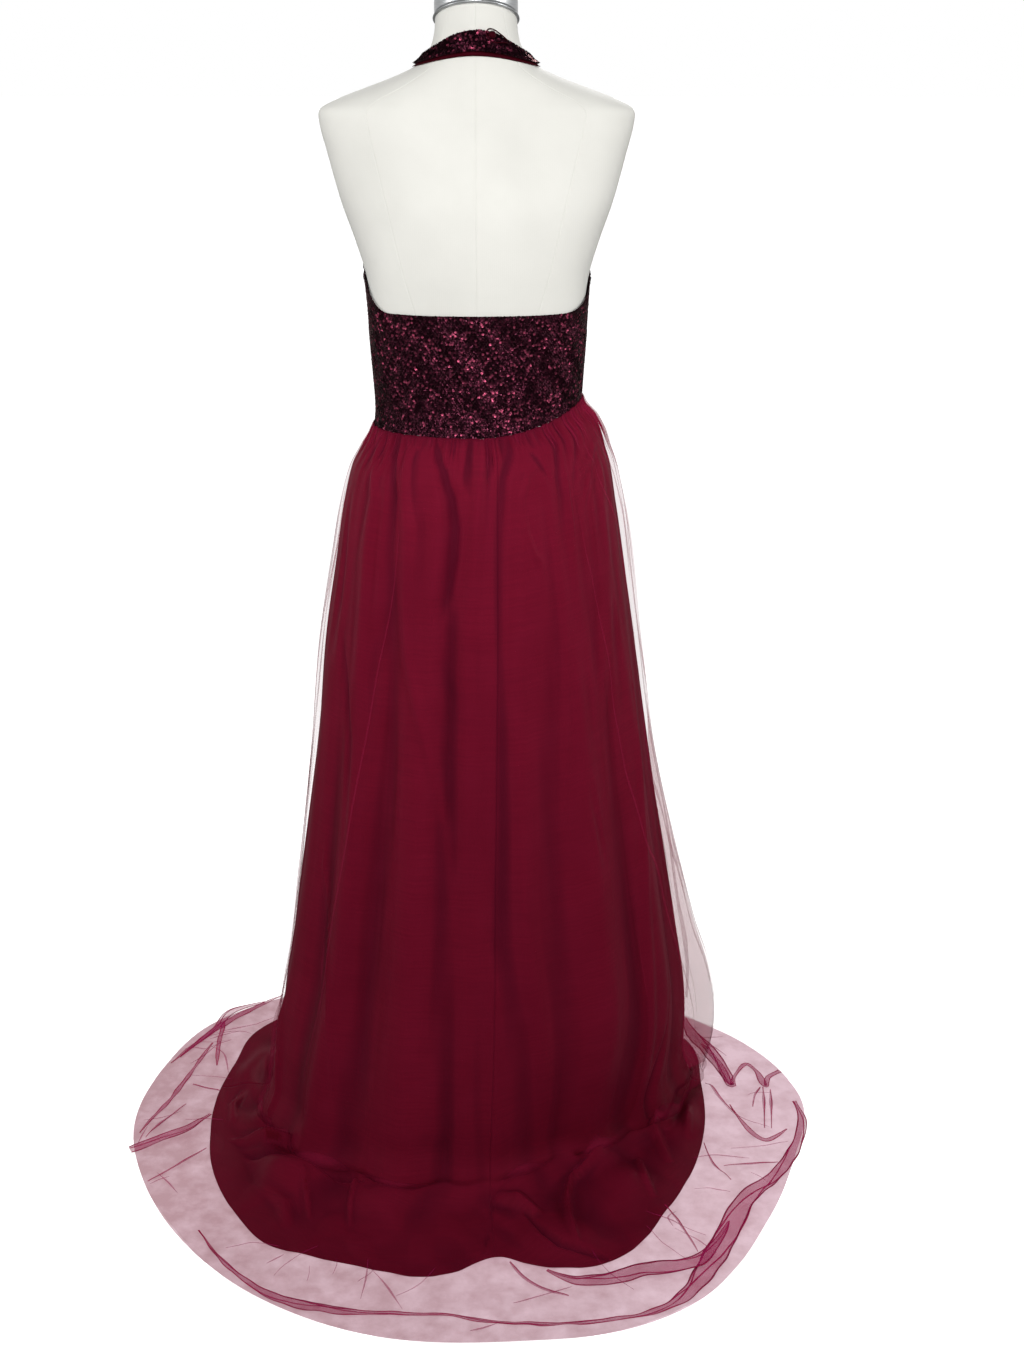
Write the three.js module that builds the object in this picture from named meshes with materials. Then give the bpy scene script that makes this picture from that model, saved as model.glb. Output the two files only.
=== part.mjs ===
// A halter-neck evening gown on a limbless dressmaker's form: sequinned bodice with a bare back, gathered satin skirt
// with a short train, and a longer tulle overskirt. Millimetres, +Z up, floor at z = 0, the wearer's front towards -Y
// and their left towards +X. The origin is on the floor, under the form's pole.
//
// Every place on the gown is given by an angle round the body, in degrees, from the centre back (0) over the left
// side (90) to the centre front (180); the right side is -90.
import * as THREE from "three";

// ---- Driving sizes ----
const SATIN_THICK = 1.2;
const TULLE_THICK = 1.0;
const SEQUIN_THICK = 2.0; // net ground with its sequins
const FACING_THICK = 1.0;
const SEAM_GAP = 0.3; // between neighbouring pieces

const FACING_OFF_FORM = 1.4; // to the facing's middle
const BODICE_OFF_FORM = 3.0; // to the sequinned cloth's middle
const NECKBAND_OFF_FORM = 3.8;
const SATIN_OFF_FORM = 3.6; // at the waist seam
const SEAM_DROP = 0.8; // the skirts' top edges below the bodice's lower edge
const GATHERS = 44; // round the waist, in satin and in tulle alike
const GATHER_DEPTH = 3.4; // largest half height of a gather
const BACK_HEM_FALL = 34; // height over which the skirt turns from hanging to lying on the floor

const POLE_RADIUS = 16;
const BASE_RADIUS = 150;
const BASE_EDGE = 9; // thickness at the rim
const BASE_BOSS = { radius: 34, height: 46 };
const CAP_HEIGHT = 34;

// Waist seam: its height at the four quarters. It sits crooked, higher on the right.
const WAIST_SEAM = { back: 994, left: 997, right: 1034, front: 1014 };
// The back band's upper edge: level across the back, then sweeping up to the side seams.
const BAND_TOP = { back: 1148, left: 1190, right: 1170, levelTo: 48 };

// Sections of the form: half width, depth to the front and back of the pole, how far the section is squared (share of
// its size), and how far it tilts forward (height lost for each millimetre towards the front).
const FORM = [
  { z: 742, width: 168, front: 108, back: 112, square: 0.03, tilt: 0 },
  { z: 820, width: 169, front: 112, back: 120, square: 0.03, tilt: 0 },
  { z: 880, width: 162, front: 112, back: 114, square: 0.03, tilt: 0 },
  { z: 940, width: 149, front: 108, back: 101, square: 0.03, tilt: 0 },
  { z: 985, width: 135, front: 100, back: 90, square: 0.03, tilt: 0 },
  { z: 1015, width: 130, front: 97, back: 86, square: 0.03, tilt: 0 },
  { z: 1060, width: 132, front: 98, back: 87, square: 0.04, tilt: 0 },
  { z: 1104, width: 135, front: 102, back: 90, square: 0.05, tilt: 0 },
  { z: 1150, width: 137, front: 106, back: 95, square: 0.06, tilt: 0 },
  { z: 1186, width: 141, front: 109, back: 98, square: 0.06, tilt: 0 },
  { z: 1230, width: 154, front: 107, back: 100, square: 0.05, tilt: 0 },
  { z: 1279, width: 171, front: 98, back: 100, square: 0.04, tilt: 0 },
  { z: 1339, width: 187, front: 84, back: 92, square: 0.03, tilt: 0 },
  { z: 1372, width: 195, front: 74, back: 84, square: 0.02, tilt: 0 },
  { z: 1389, width: 193, front: 68, back: 78, square: 0.01, tilt: 0 },
  { z: 1400, width: 172, front: 63, back: 74, square: 0, tilt: 0 },
  { z: 1413, width: 137, front: 59, back: 69, square: 0, tilt: 0 },
  { z: 1425, width: 104, front: 57, back: 65, square: 0, tilt: 0.02 },
  { z: 1438, width: 75, front: 54, back: 60, square: 0, tilt: 0.06 },
  { z: 1451, width: 61, front: 52, back: 56, square: 0, tilt: 0.14 },
  { z: 1468, width: 53, front: 50, back: 52, square: 0, tilt: 0.26 },
  { z: 1491, width: 50, front: 48, back: 49, square: 0, tilt: 0.38 },
];
const FORM_ROWS = [
  742, 800, 870, 930, 970, 1005, 1045, 1085, 1125, 1160, 1184, 1206, 1228, 1252, 1279, 1310, 1342, 1368, 1382, 1391,
  1401, 1413, 1425, 1433, 1442, 1453, 1470, 1491,
];
const BUST = { across: 74, height: 1205, spread: 42, depth: 17 };

// The bodice front's armhole edge above the side seam: half width at each height.
const ARMHOLE = [
  { z: 1190, x: 141.5 },
  { z: 1198, x: 142 },
  { z: 1208, x: 139 },
  { z: 1222, x: 132 },
  { z: 1242, x: 122 },
  { z: 1270, x: 110 },
  { z: 1320, x: 95 },
  { z: 1370, x: 84 },
  { z: 1410, x: 77 },
  { z: 1432, x: 74 },
];
// Rows of the bodice front, from the waist seam (0) to the neckband (1).
const FRONT_ROWS = [
  1, 0.982, 0.96, 0.935, 0.905, 0.86, 0.8, 0.73, 0.66, 0.6, 0.55, 0.51, 0.475, 0.44, 0.405, 0.37, 0.33, 0.25, 0.16, 0.08,
  0,
];

// Edges of bands that ring the neck: their heights at centre back, side and centre front.
const NECK_EDGES = {
  facingLow: { back: 1450, side: 1436.5, front: 1380 },
  facingHigh: { back: 1462, side: 1443, front: 1386 },
  bandLow: { back: 1455, side: 1438, front: 1381 },
  bandMiddle: { back: 1467, side: 1443.5, front: 1392 },
  bandHigh: { back: 1479, side: 1450, front: 1404 },
};
const BAND_ENDS = { under: -9, over: -31, lapFrom: 4 }; // the left end passes the centre back and laps over the right
const LAP_LIFT = 2.4; // the lapped end clears the end below it
const FACING_ENDS = 84;
const BUTTON = { angle: -18, radius: 4.6, below: 3, girth: 60 }; // below the band's upper edge; band's half width
// The loop's path round the button: distance towards the right, height, and height off the band beneath.
const LOOP_RADIUS = 0.8;
const LOOP = [
  { along: 20.5, up: 1.4, off: 0 },
  { along: 18.2, up: 1.8, off: 1.2 },
  { along: 15, up: 2.6, off: 2.4 },
  { along: 9, up: 4.4, off: 2.4 },
  { along: 3.5, up: 5.9, off: 2.4 },
  { along: -2.6, up: 5.9, off: 2.4 },
  { along: -6.2, up: 2.2, off: 2.4 },
  { along: -6.2, up: -2.2, off: 2.4 },
  { along: -2.6, up: -5.9, off: 2.4 },
  { along: 3.5, up: -5.9, off: 2.4 },
  { along: 9, up: -4.4, off: 2.4 },
  { along: 15, up: -2.6, off: 2.4 },
  { along: 18.2, up: -1.8, off: 1.2 },
  { along: 20.5, up: -1.4, off: 0 },
];

// Satin skirt: how far its middle stands from the pole's axis at each height, at the four quarters, before folds.
const SATIN_SECTIONS = [
  { z: 1040, left: 134, right: 136, back: 91, front: 101 },
  { z: 1010, left: 134, right: 147, back: 91, front: 104 },
  { z: 985, left: 142, right: 157, back: 96, front: 113 },
  { z: 965, left: 152, right: 161, back: 105, front: 118 },
  { z: 940, left: 166, right: 167, back: 115, front: 123 },
  { z: 887, left: 179, right: 175, back: 128, front: 130 },
  { z: 819, left: 190, right: 185, back: 140, front: 138 },
  { z: 707, left: 206, right: 200, back: 157, front: 152 },
  { z: 560, left: 222, right: 220, back: 180, front: 174 },
  { z: 397, left: 244, right: 243, back: 207, front: 200 },
  { z: 256, left: 265, right: 264, back: 230, front: 223 },
  { z: 126, left: 284, right: 286, back: 249, front: 243 },
  { z: 0, left: 298, right: 300, back: 264, front: 262 },
];
// How far the tulle's inner face stands off the satin at each height, by quarter. It swings out on the right.
const TULLE_STANDOFF = [
  { z: 1040, left: 0.4, right: 0.4, back: 0.4, front: 0.4 },
  { z: 1000, left: 2, right: 7, back: 2, front: 2 },
  { z: 960, left: 4, right: 12, back: 3, front: 3 },
  { z: 870, left: 6, right: 17, back: 5, front: 5 },
  { z: 707, left: 6, right: 11, back: 6, front: 6 },
  { z: 560, left: 6, right: 10, back: 6, front: 7 },
  { z: 428, left: 5, right: 21, back: 7, front: 8 },
  { z: 272, left: 4, right: 33, back: 8, front: 9 },
  { z: 184, left: 4, right: 44, back: 9, front: 10 },
  { z: 90, left: 5, right: 46, back: 9, front: 11 },
  { z: 0, left: 4, right: 20, back: 7, front: 8 },
];
// Where the satin meets the floor and where the two hems lie, from the pole's axis, by angle.
const BREAK_LINE = [
  { at: -180, reach: 262 },
  { at: -135, reach: 272 },
  { at: -90, reach: 286 },
  { at: -60, reach: 250 },
  { at: -28, reach: 226 },
  { at: 0, reach: 258 },
  { at: 24, reach: 286 },
  { at: 50, reach: 312 },
  { at: 88, reach: 300 },
  { at: 135, reach: 280 },
];
const SATIN_HEM = [
  { at: -180, reach: 281 },
  { at: -150, reach: 292 },
  { at: -125, reach: 322 },
  { at: -109, reach: 339 },
  { at: -90, reach: 326 },
  { at: -69, reach: 341 },
  { at: -50, reach: 376 },
  { at: -37, reach: 404 },
  { at: -28, reach: 438 },
  { at: -20, reach: 452 },
  { at: -13, reach: 449 },
  { at: -5, reach: 430 },
  { at: 3, reach: 448 },
  { at: 12, reach: 459 },
  { at: 31, reach: 461 },
  { at: 51, reach: 440 },
  { at: 73, reach: 404 },
  { at: 98, reach: 382 },
  { at: 113, reach: 388 },
  { at: 135, reach: 350 },
  { at: 155, reach: 305 },
];
const TULLE_HEM = [
  { at: -180, reach: 322 },
  { at: -150, reach: 340 },
  { at: -121, reach: 381 },
  { at: -107, reach: 420 },
  { at: -95, reach: 452 },
  { at: -83, reach: 475 },
  { at: -66, reach: 479 },
  { at: -49, reach: 507 },
  { at: -38, reach: 540 },
  { at: -29, reach: 567 },
  { at: -18, reach: 578 },
  { at: -5, reach: 571 },
  { at: 12, reach: 573 },
  { at: 29, reach: 559 },
  { at: 46, reach: 538 },
  { at: 62, reach: 522 },
  { at: 78, reach: 512 },
  { at: 96, reach: 488 },
  { at: 110, reach: 472 },
  { at: 122, reach: 440 },
  { at: 140, reach: 385 },
  { at: 160, reach: 338 },
];

// Long folds of both skirts: centre angle, half width in degrees, depth (+ outwards), heights of the start and of the
// deepest place, and how high the fold runs out over the floor.
const FOLDS = [
  { at: 0, half: 7, depth: -5, top: 930, full: 520, floor: 0 },
  { at: 10, half: 7, depth: -11, top: 960, full: 720, floor: 0 },
  { at: 21, half: 8, depth: 8, top: 900, full: 300, floor: 10 },
  { at: 33, half: 8, depth: -10, top: 965, full: 560, floor: 0 },
  { at: 45, half: 9, depth: 10, top: 930, full: 260, floor: 20 },
  { at: 58, half: 8, depth: -9, top: 900, full: 240, floor: 0 },
  { at: 72, half: 9, depth: 9, top: 820, full: 200, floor: 12 },
  { at: 86, half: 8, depth: -7, top: 860, full: 300, floor: 0 },
  { at: 101, half: 9, depth: 9, top: 900, full: 220, floor: 8 },
  { at: 115, half: 9, depth: -9, top: 930, full: 260, floor: 0 },
  { at: 131, half: 10, depth: 10, top: 900, full: 200, floor: 5 },
  { at: 147, half: 9, depth: -8, top: 940, full: 320, floor: 0 },
  { at: 163, half: 9, depth: 9, top: 900, full: 240, floor: 3 },
  { at: 178, half: 9, depth: -8, top: 950, full: 300, floor: 0 },
  { at: -12, half: 8, depth: 6, top: 900, full: 420, floor: 12 },
  { at: -24, half: 8, depth: -9, top: 860, full: 220, floor: 0 },
  { at: -38, half: 9, depth: 10, top: 930, full: 300, floor: 16 },
  { at: -52, half: 8, depth: -8, top: 900, full: 240, floor: 0 },
  { at: -66, half: 8, depth: 8, top: 940, full: 260, floor: 9 },
  { at: -80, half: 8, depth: -8, top: 900, full: 260, floor: 0 },
  { at: -95, half: 9, depth: 9, top: 880, full: 200, floor: 8 },
  { at: -110, half: 9, depth: -8, top: 930, full: 300, floor: 0 },
  { at: -126, half: 10, depth: 10, top: 900, full: 220, floor: 5 },
  { at: -143, half: 9, depth: -9, top: 940, full: 260, floor: 0 },
  { at: -160, half: 9, depth: 8, top: 900, full: 240, floor: 3 },
];
// Where the trains buckle on the floor: centre angle, half width in degrees, height, and place and half length along
// the train (0 at the break line, 1 at the satin's hem).
const SATIN_BUCKLES = [
  { at: 52, half: 22, height: 26, along: 0.32, reach: 0.3 },
  { at: 26, half: 13, height: 12, along: 0.2, reach: 0.25 },
  { at: -16, half: 12, height: 14, along: 0.72, reach: 0.34 },
  { at: -5, half: 10, height: 9, along: 1, reach: 0.5 },
  { at: -36, half: 14, height: 16, along: 0.5, reach: 0.4 },
  { at: -70, half: 15, height: 10, along: 0.6, reach: 0.4 },
  { at: 95, half: 16, height: 9, along: 0.5, reach: 0.4 },
];
const TULLE_BUCKLES = [
  { at: -100, half: 16, height: 30, along: 0.35, reach: 0.4 },
  { at: -80, half: 11, height: 26, along: 0.55, reach: 0.5 },
  { at: -52, half: 12, height: 14, along: 0.75, reach: 0.35 },
  { at: -30, half: 14, height: 12, along: 0.6, reach: 0.35 },
  { at: 22, half: 16, height: 9, along: 0.7, reach: 0.3 },
  { at: 70, half: 10, height: 12, along: 0.55, reach: 0.5 },
  { at: 104, half: 12, height: 18, along: 0.45, reach: 0.5 },
  { at: 122, half: 14, height: 20, along: 0.3, reach: 0.4 },
];

// Rows of a skirt panel: share of the drop from the waist seam to the floor, then share of the way to the hem.
const DROPS = [0, 0.018, 0.045, 0.09, 0.155, 0.25, 0.38, 0.54, 0.71, 0.87];
const SATIN_TRAIN = [0.06, 0.3, 0.65, 1];
const TULLE_TRAIN = [0.06, 0.3, 0.65, 1]; // over the satin
const TULLE_EDGE = [0.16, 0.5, 1]; // past the satin's hem
// The skirts' centre-back seam leans: its angle at the waist and at the floor.
const BACK_SEAM = { waist: -9, floor: -3 };

const COLOURS = { satin: 0x6e1028, tulle: 0x8a2a4c, sequins: 0x3c0f1e, form: 0xe9e6dc, steel: 0xb9bbbd, iron: 0x2b2c2e };

// ---- Small mathematics ----
const radians = (degrees) => (degrees * Math.PI) / 180;
const clamp01 = (t) => Math.min(1, Math.max(0, t));
const ease = (t) => clamp01(t) ** 2 * (3 - 2 * clamp01(t));
const mix = (a, b, t) => a + (b - a) * t;
const wrap = (degrees) => ((((degrees + 180) % 360) + 360) % 360) - 180;
// One soft hump: 1 at the centre and 0 from `half` away.
const hump = (distance, half) => (Math.abs(distance) < half ? (1 + Math.cos((Math.PI * distance) / half)) / 2 : 0);

// A smooth function through column `to` of a table, over column `from`, flat beyond its ends.
function smooth(table, from, to) {
  const rows = [...table].sort((a, b) => a[from] - b[from]);
  const x = rows.map((row) => row[from]);
  const y = rows.map((row) => row[to]);
  const last = x.length - 1;
  const slope = x.map((_, i) => (i === 0 || i === last ? 0 : (y[i + 1] - y[i - 1]) / (x[i + 1] - x[i - 1])));
  return (at) => {
    if (at <= x[0]) return y[0];
    if (at >= x[last]) return y[last];
    let i = 0;
    while (x[i + 1] < at) i++;
    const span = x[i + 1] - x[i];
    const t = (at - x[i]) / span;
    const t2 = t * t;
    const t3 = t2 * t;
    return (
      (2 * t3 - 3 * t2 + 1) * y[i] +
      (t3 - 2 * t2 + t) * span * slope[i] +
      (3 * t2 - 2 * t3) * y[i + 1] +
      (t3 - t2) * span * slope[i + 1]
    );
  };
}

// The same for a table that goes once round the body.
function smoothRound(table) {
  const rows = [-360, 0, 360].flatMap((turn) => table.map((row) => ({ at: row.at + turn, reach: row.reach })));
  const along = smooth(rows, "at", "reach");
  return (angle) => along(wrap(angle));
}

// A value given at the four quarters, at any angle.
function quarter(values, angle) {
  const side = Math.sin(radians(angle));
  const end = Math.cos(radians(angle));
  const across = side > 0 ? values.left : values.right;
  const along = end > 0 ? values.back : values.front;
  return mix(along, across, side * side);
}

// ---- The form and places on it ----
const formAt = Object.fromEntries(
  ["width", "front", "back", "square", "tilt"].map((column) => [column, smooth(FORM, "z", column)]),
);

function formPoint(z, angle) {
  const side = Math.sin(radians(angle));
  const end = Math.cos(radians(angle));
  const swell = 1 + formAt.square(z) * (2 * side * end) ** 2;
  const x = formAt.width(z) * side * swell;
  let y = (end > 0 ? formAt.back(z) : formAt.front(z)) * end * swell;
  if (end < 0) {
    const near = (centre) => Math.exp(-((x - centre) ** 2 + (z - BUST.height) ** 2) / (2 * BUST.spread ** 2));
    y -= BUST.depth * (near(BUST.across) + near(-BUST.across)) * ease(-end * 2);
  }
  return new THREE.Vector3(x, y, z + formAt.tilt(z) * y);
}

// A point `gap` off the form's surface.
function offForm(z, angle, gap) {
  const step = 0.5;
  const round = formPoint(z, angle + step).sub(formPoint(z, angle - step));
  const up = formPoint(z + step, angle).sub(formPoint(z - step, angle));
  const normal = up.cross(round).normalize();
  return formPoint(z, angle).addScaledVector(normal, gap);
}

const waistSeam = (angle) => quarter(WAIST_SEAM, angle);

// ---- Cloth as a closed wall ----
// Outward normal at each point of a grid whose rows run down and whose columns run anticlockwise from above.
function cornerNormals(grid) {
  const at = (i, j) => grid[Math.max(0, Math.min(grid.length - 1, i))][Math.max(0, Math.min(grid[0].length - 1, j))];
  return grid.map((row, i) =>
    row.map((_, j) => {
      const down = at(i + 1, j).clone().sub(at(i - 1, j));
      const round = at(i, j + 1).clone().sub(at(i, j - 1));
      return down.cross(round).normalize();
    }),
  );
}

// Closed wall of the given thickness about such a grid.
function clothWall(grid, thickness, normals = cornerNormals(grid)) {
  const rows = grid.length;
  const columns = grid[0].length;
  const positions = [];
  for (const side of [0.5, -0.5])
    for (let i = 0; i < rows; i++)
      for (let j = 0; j < columns; j++)
        positions.push(...grid[i][j].clone().addScaledVector(normals[i][j], side * thickness).toArray());
  const outer = (i, j) => i * columns + j;
  const inner = (i, j) => rows * columns + outer(i, j);
  const faces = [];
  const quad = (a, b, c, d) => faces.push(a, b, c, a, c, d);
  for (let i = 0; i + 1 < rows; i++)
    for (let j = 0; j + 1 < columns; j++) {
      quad(outer(i, j), outer(i + 1, j), outer(i + 1, j + 1), outer(i, j + 1));
      quad(inner(i, j), inner(i, j + 1), inner(i + 1, j + 1), inner(i + 1, j));
    }
  for (let j = 0; j + 1 < columns; j++) {
    quad(outer(0, j), outer(0, j + 1), inner(0, j + 1), inner(0, j));
    quad(outer(rows - 1, j), inner(rows - 1, j), inner(rows - 1, j + 1), outer(rows - 1, j + 1));
  }
  for (let i = 0; i + 1 < rows; i++) {
    quad(outer(i, 0), inner(i, 0), inner(i + 1, 0), outer(i + 1, 0));
    quad(outer(i, columns - 1), outer(i + 1, columns - 1), inner(i + 1, columns - 1), inner(i, columns - 1));
  }
  return solidOf(positions, faces);
}

// Solid whose rings run up from the first to the last, anticlockwise from above, closed by flat fans.
function ringSolid(rings) {
  const size = rings[0].length;
  const positions = rings.flat().flatMap((point) => point.toArray());
  const faces = [];
  for (let i = 0; i + 1 < rings.length; i++)
    for (let j = 0; j < size; j++) {
      const [a, b] = [i * size + j, i * size + ((j + 1) % size)];
      faces.push(a, b, b + size, a, b + size, a + size);
    }
  const centres = [rings[0], rings[rings.length - 1]].map((ring) => {
    const centre = ring.reduce((sum, point) => sum.add(point), new THREE.Vector3()).divideScalar(size);
    positions.push(...centre.toArray());
    return positions.length / 3 - 1;
  });
  const top = (rings.length - 1) * size;
  for (let j = 0; j < size; j++) {
    faces.push(centres[0], (j + 1) % size, j);
    faces.push(centres[1], top + j, top + ((j + 1) % size));
  }
  return solidOf(positions, faces);
}

function solidOf(positions, faces) {
  const geometry = new THREE.BufferGeometry();
  geometry.setAttribute("position", new THREE.Float32BufferAttribute(positions, 3));
  geometry.setIndex(faces);
  geometry.computeVertexNormals();
  return geometry;
}

// ---- Dress form ----
const FORM_COLUMNS = 32;

function ringOf(pointAt, columns) {
  // Anticlockwise from above is from the back towards the right side.
  return Array.from({ length: columns }, (_, j) => pointAt((-360 * j) / columns));
}

function formTorso() {
  return ringSolid(FORM_ROWS.map((z) => ringOf((angle) => formPoint(z, angle), FORM_COLUMNS)));
}

// Sheet-metal cap over the cut neck: a short drum on the neck's slant with a low dome.
function neckCap() {
  const neck = FORM_ROWS[FORM_ROWS.length - 1];
  const profile = [
    { grow: 1.02, rise: SEAM_GAP },
    { grow: 1.02, rise: CAP_HEIGHT * 0.62 },
    { grow: 0.94, rise: CAP_HEIGHT * 0.8 },
    { grow: 0.72, rise: CAP_HEIGHT * 0.93 },
    { grow: 0.36, rise: CAP_HEIGHT },
  ];
  return ringSolid(
    profile.map(({ grow, rise }) =>
      ringOf((angle) => {
        const point = formPoint(neck, angle);
        const tilt = formAt.tilt(neck);
        point.x *= grow;
        point.y *= grow;
        point.z = neck + tilt * point.y + rise;
        return point;
      }, FORM_COLUMNS),
    ),
  );
}

function pole() {
  const top = FORM_ROWS[0] - SEAM_GAP;
  const bottom = BASE_BOSS.height + SEAM_GAP;
  const geometry = new THREE.CylinderGeometry(POLE_RADIUS, POLE_RADIUS, top - bottom, 24);
  return geometry.rotateX(Math.PI / 2).translate(0, 0, (top + bottom) / 2);
}

function base() {
  const profile = [
    [0, 0],
    [BASE_RADIUS, 0],
    [BASE_RADIUS, BASE_EDGE * 0.7],
    [BASE_RADIUS - 5, BASE_EDGE],
    [BASE_BOSS.radius + 16, BASE_EDGE + 7],
    [BASE_BOSS.radius, BASE_EDGE + 16],
    [BASE_BOSS.radius - 8, BASE_BOSS.height],
    [0, BASE_BOSS.height],
  ];
  const points = profile.map(([radius, height]) => new THREE.Vector2(radius, height));
  return new THREE.LatheGeometry(points, 32).rotateX(Math.PI / 2);
}

// ---- Bodice ----
// Height of the back band's upper edge.
function bandTop(angle) {
  const rise = ease((Math.abs(angle) - BAND_TOP.levelTo) / (90 - BAND_TOP.levelTo));
  return mix(BAND_TOP.back, angle > 0 ? BAND_TOP.left : BAND_TOP.right, rise);
}

// Half the seam gap as an angle at the sides of the waist.
const SEAM_ANGLE = (SEAM_GAP / 2 / 130) * (180 / Math.PI);

function bodiceBack() {
  const rows = 6;
  const columns = 22;
  const edge = 90 - SEAM_ANGLE;
  const grid = [];
  for (let i = 0; i <= rows; i++) {
    const row = [];
    for (let j = 0; j <= columns; j++) {
      const angle = mix(edge, -edge, j / columns);
      row.push(offForm(mix(bandTop(angle), waistSeam(angle), i / rows), angle, BODICE_OFF_FORM));
    }
    grid.push(row);
  }
  return clothWall(grid, SEQUIN_THICK);
}

// A point of an edge that rings the neck, as height and angle on the form. In front the edge keeps to a half width as
// it dips onto the chest.
function neckEdge(edge, angle) {
  const end = Math.cos(radians(angle));
  const height = edge.side + (end > 0 ? edge.back - edge.side : edge.front - edge.side) * end * end;
  const half = formAt.width(edge.side);
  const place = end > 0 ? angle : 180 - Math.asin((half * Math.sin(radians(angle))) / formAt.width(height)) / radians(1);
  let z = height;
  for (let pass = 0; pass < 6; pass++) z = height - formAt.tilt(z) * formPoint(z, place).y;
  return { z, angle: place };
}

const armhole = smooth(ARMHOLE, "z", "x");
const SIDE_SEAM_TOP = { left: BAND_TOP.left, right: BAND_TOP.right };

// Where the bodice front's edge is at a height, as an angle each side of the centre front.
function frontEdge(z, side) {
  const seamTop = side > 0 ? SIDE_SEAM_TOP.left : SIDE_SEAM_TOP.right;
  if (z <= seamTop) return 90 - SEAM_ANGLE;
  const shifted = mix(ARMHOLE[0].z, ARMHOLE[ARMHOLE.length - 1].z, (z - seamTop) / (ARMHOLE[ARMHOLE.length - 1].z - seamTop));
  const share = Math.min(1, armhole(shifted) / formAt.width(z));
  return Math.min(90 - SEAM_ANGLE, (Math.asin(share) * 180) / Math.PI);
}

function bodiceFront() {
  const columns = 22;
  const neckSpan = 80; // the neckband's angle, each side of the centre front, that the front hangs from
  const grid = FRONT_ROWS.map((up) =>
    Array.from({ length: columns + 1 }, (_, j) => {
      const side = mix(-1, 1, j / columns); // -1 on the wearer's right
      const reach = Math.abs(side);
      const neck = neckEdge(NECK_EDGES.bandLow, 180 - neckSpan * side);
      const top = neck.z - SEAM_DROP;
      const z = mix(waistSeam(180 - 90 * side), top, up);
      const correction = Math.abs(wrap(neck.angle - 180)) - reach * frontEdge(top, side);
      const fromFront = reach * frontEdge(z, side) + correction * up ** 5;
      const lift = mix(BODICE_OFF_FORM, NECKBAND_OFF_FORM, up ** 5);
      return offForm(z, 180 - Math.sign(side) * fromFront, lift);
    }),
  );
  return clothWall(grid, SEQUIN_THICK);
}

// A band that rings the neck between edges (the highest first), from one angle down to another, `lift` off the form.
function neckStrip(edges, from, to, columns, lift, thickness) {
  const grid = edges.map((edge) =>
    Array.from({ length: columns + 1 }, (_, j) => {
      const turn = mix(from, to, j / columns);
      const place = neckEdge(edge, turn);
      return offForm(place.z, place.angle, lift(turn));
    }),
  );
  return clothWall(grid, thickness);
}

function neckband() {
  const { bandHigh, bandMiddle, bandLow } = NECK_EDGES;
  const lapped = (turn) => LAP_LIFT * ease((BAND_ENDS.lapFrom - turn) / (BAND_ENDS.lapFrom - BAND_ENDS.under));
  // From the end underneath at the right, round the front and the left side, to the lapped end.
  const lift = (turn) => NECKBAND_OFF_FORM + lapped(turn);
  return neckStrip([bandHigh, bandMiddle, bandLow], 360 + BAND_ENDS.under, BAND_ENDS.over, 56, lift, SEQUIN_THICK);
}

function neckbandFacing() {
  const { facingLow, facingHigh } = NECK_EDGES;
  return neckStrip([facingHigh, facingLow], FACING_ENDS, -FACING_ENDS, 26, () => FACING_OFF_FORM, FACING_THICK);
}

// Where the button sits: on the lapped end's outer face, near its upper edge.
function buttonSeat(extra) {
  const place = neckEdge(NECK_EDGES.bandHigh, BUTTON.angle);
  return offForm(place.z - BUTTON.below, place.angle, NECKBAND_OFF_FORM + LAP_LIFT + SEQUIN_THICK / 2 + extra);
}

function neckButton() {
  const { radius } = BUTTON;
  const geometry = new THREE.SphereGeometry(radius, 12, 8).scale(1, 1, 0.72);
  const out = buttonSeat(10).sub(buttonSeat(0)).normalize();
  const turn = new THREE.Quaternion().setFromUnitVectors(new THREE.Vector3(0, 0, 1), out);
  return geometry.applyQuaternion(turn).translate(...buttonSeat(radius * 0.72 + SEAM_GAP).toArray());
}

function buttonLoop() {
  const perDegree = (BUTTON.girth * Math.PI) / 180;
  const path = LOOP.map(({ along, up, off }) => {
    const place = neckEdge(NECK_EDGES.bandHigh, BUTTON.angle - along / perDegree);
    const lift = NECKBAND_OFF_FORM + SEQUIN_THICK / 2 + LOOP_RADIUS + SEAM_GAP + off;
    return offForm(place.z - BUTTON.below + up, place.angle, lift);
  });
  const curve = new THREE.CatmullRomCurve3(path);
  const steps = 26;
  const frames = curve.computeFrenetFrames(steps);
  const rings = Array.from({ length: steps + 1 }, (_, i) =>
    Array.from({ length: 6 }, (_, j) => {
      const turn = (2 * Math.PI * j) / 6;
      return curve
        .getPointAt(i / steps)
        .addScaledVector(frames.normals[i], LOOP_RADIUS * Math.cos(turn))
        .addScaledVector(frames.binormals[i], LOOP_RADIUS * Math.sin(turn));
    }),
  );
  return ringSolid(rings);
}

// ---- Skirts ----
const satinReach = Object.fromEntries(
  ["left", "right", "back", "front"].map((side) => [side, smooth(SATIN_SECTIONS, "z", side)]),
);
const standoff = Object.fromEntries(
  ["left", "right", "back", "front"].map((side) => [side, smooth(TULLE_STANDOFF, "z", side)]),
);
const breakLine = smoothRound(BREAK_LINE);
const satinHem = smoothRound(SATIN_HEM);
const tulleHem = smoothRound(TULLE_HEM);

// The angle on the form of a place measured from the leaning centre-back seam.
function leaning(angle, drop) {
  const share = Math.cos(radians(angle) / 2) ** 2;
  return angle + mix(BACK_SEAM.waist, BACK_SEAM.floor, drop) * share;
}

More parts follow.
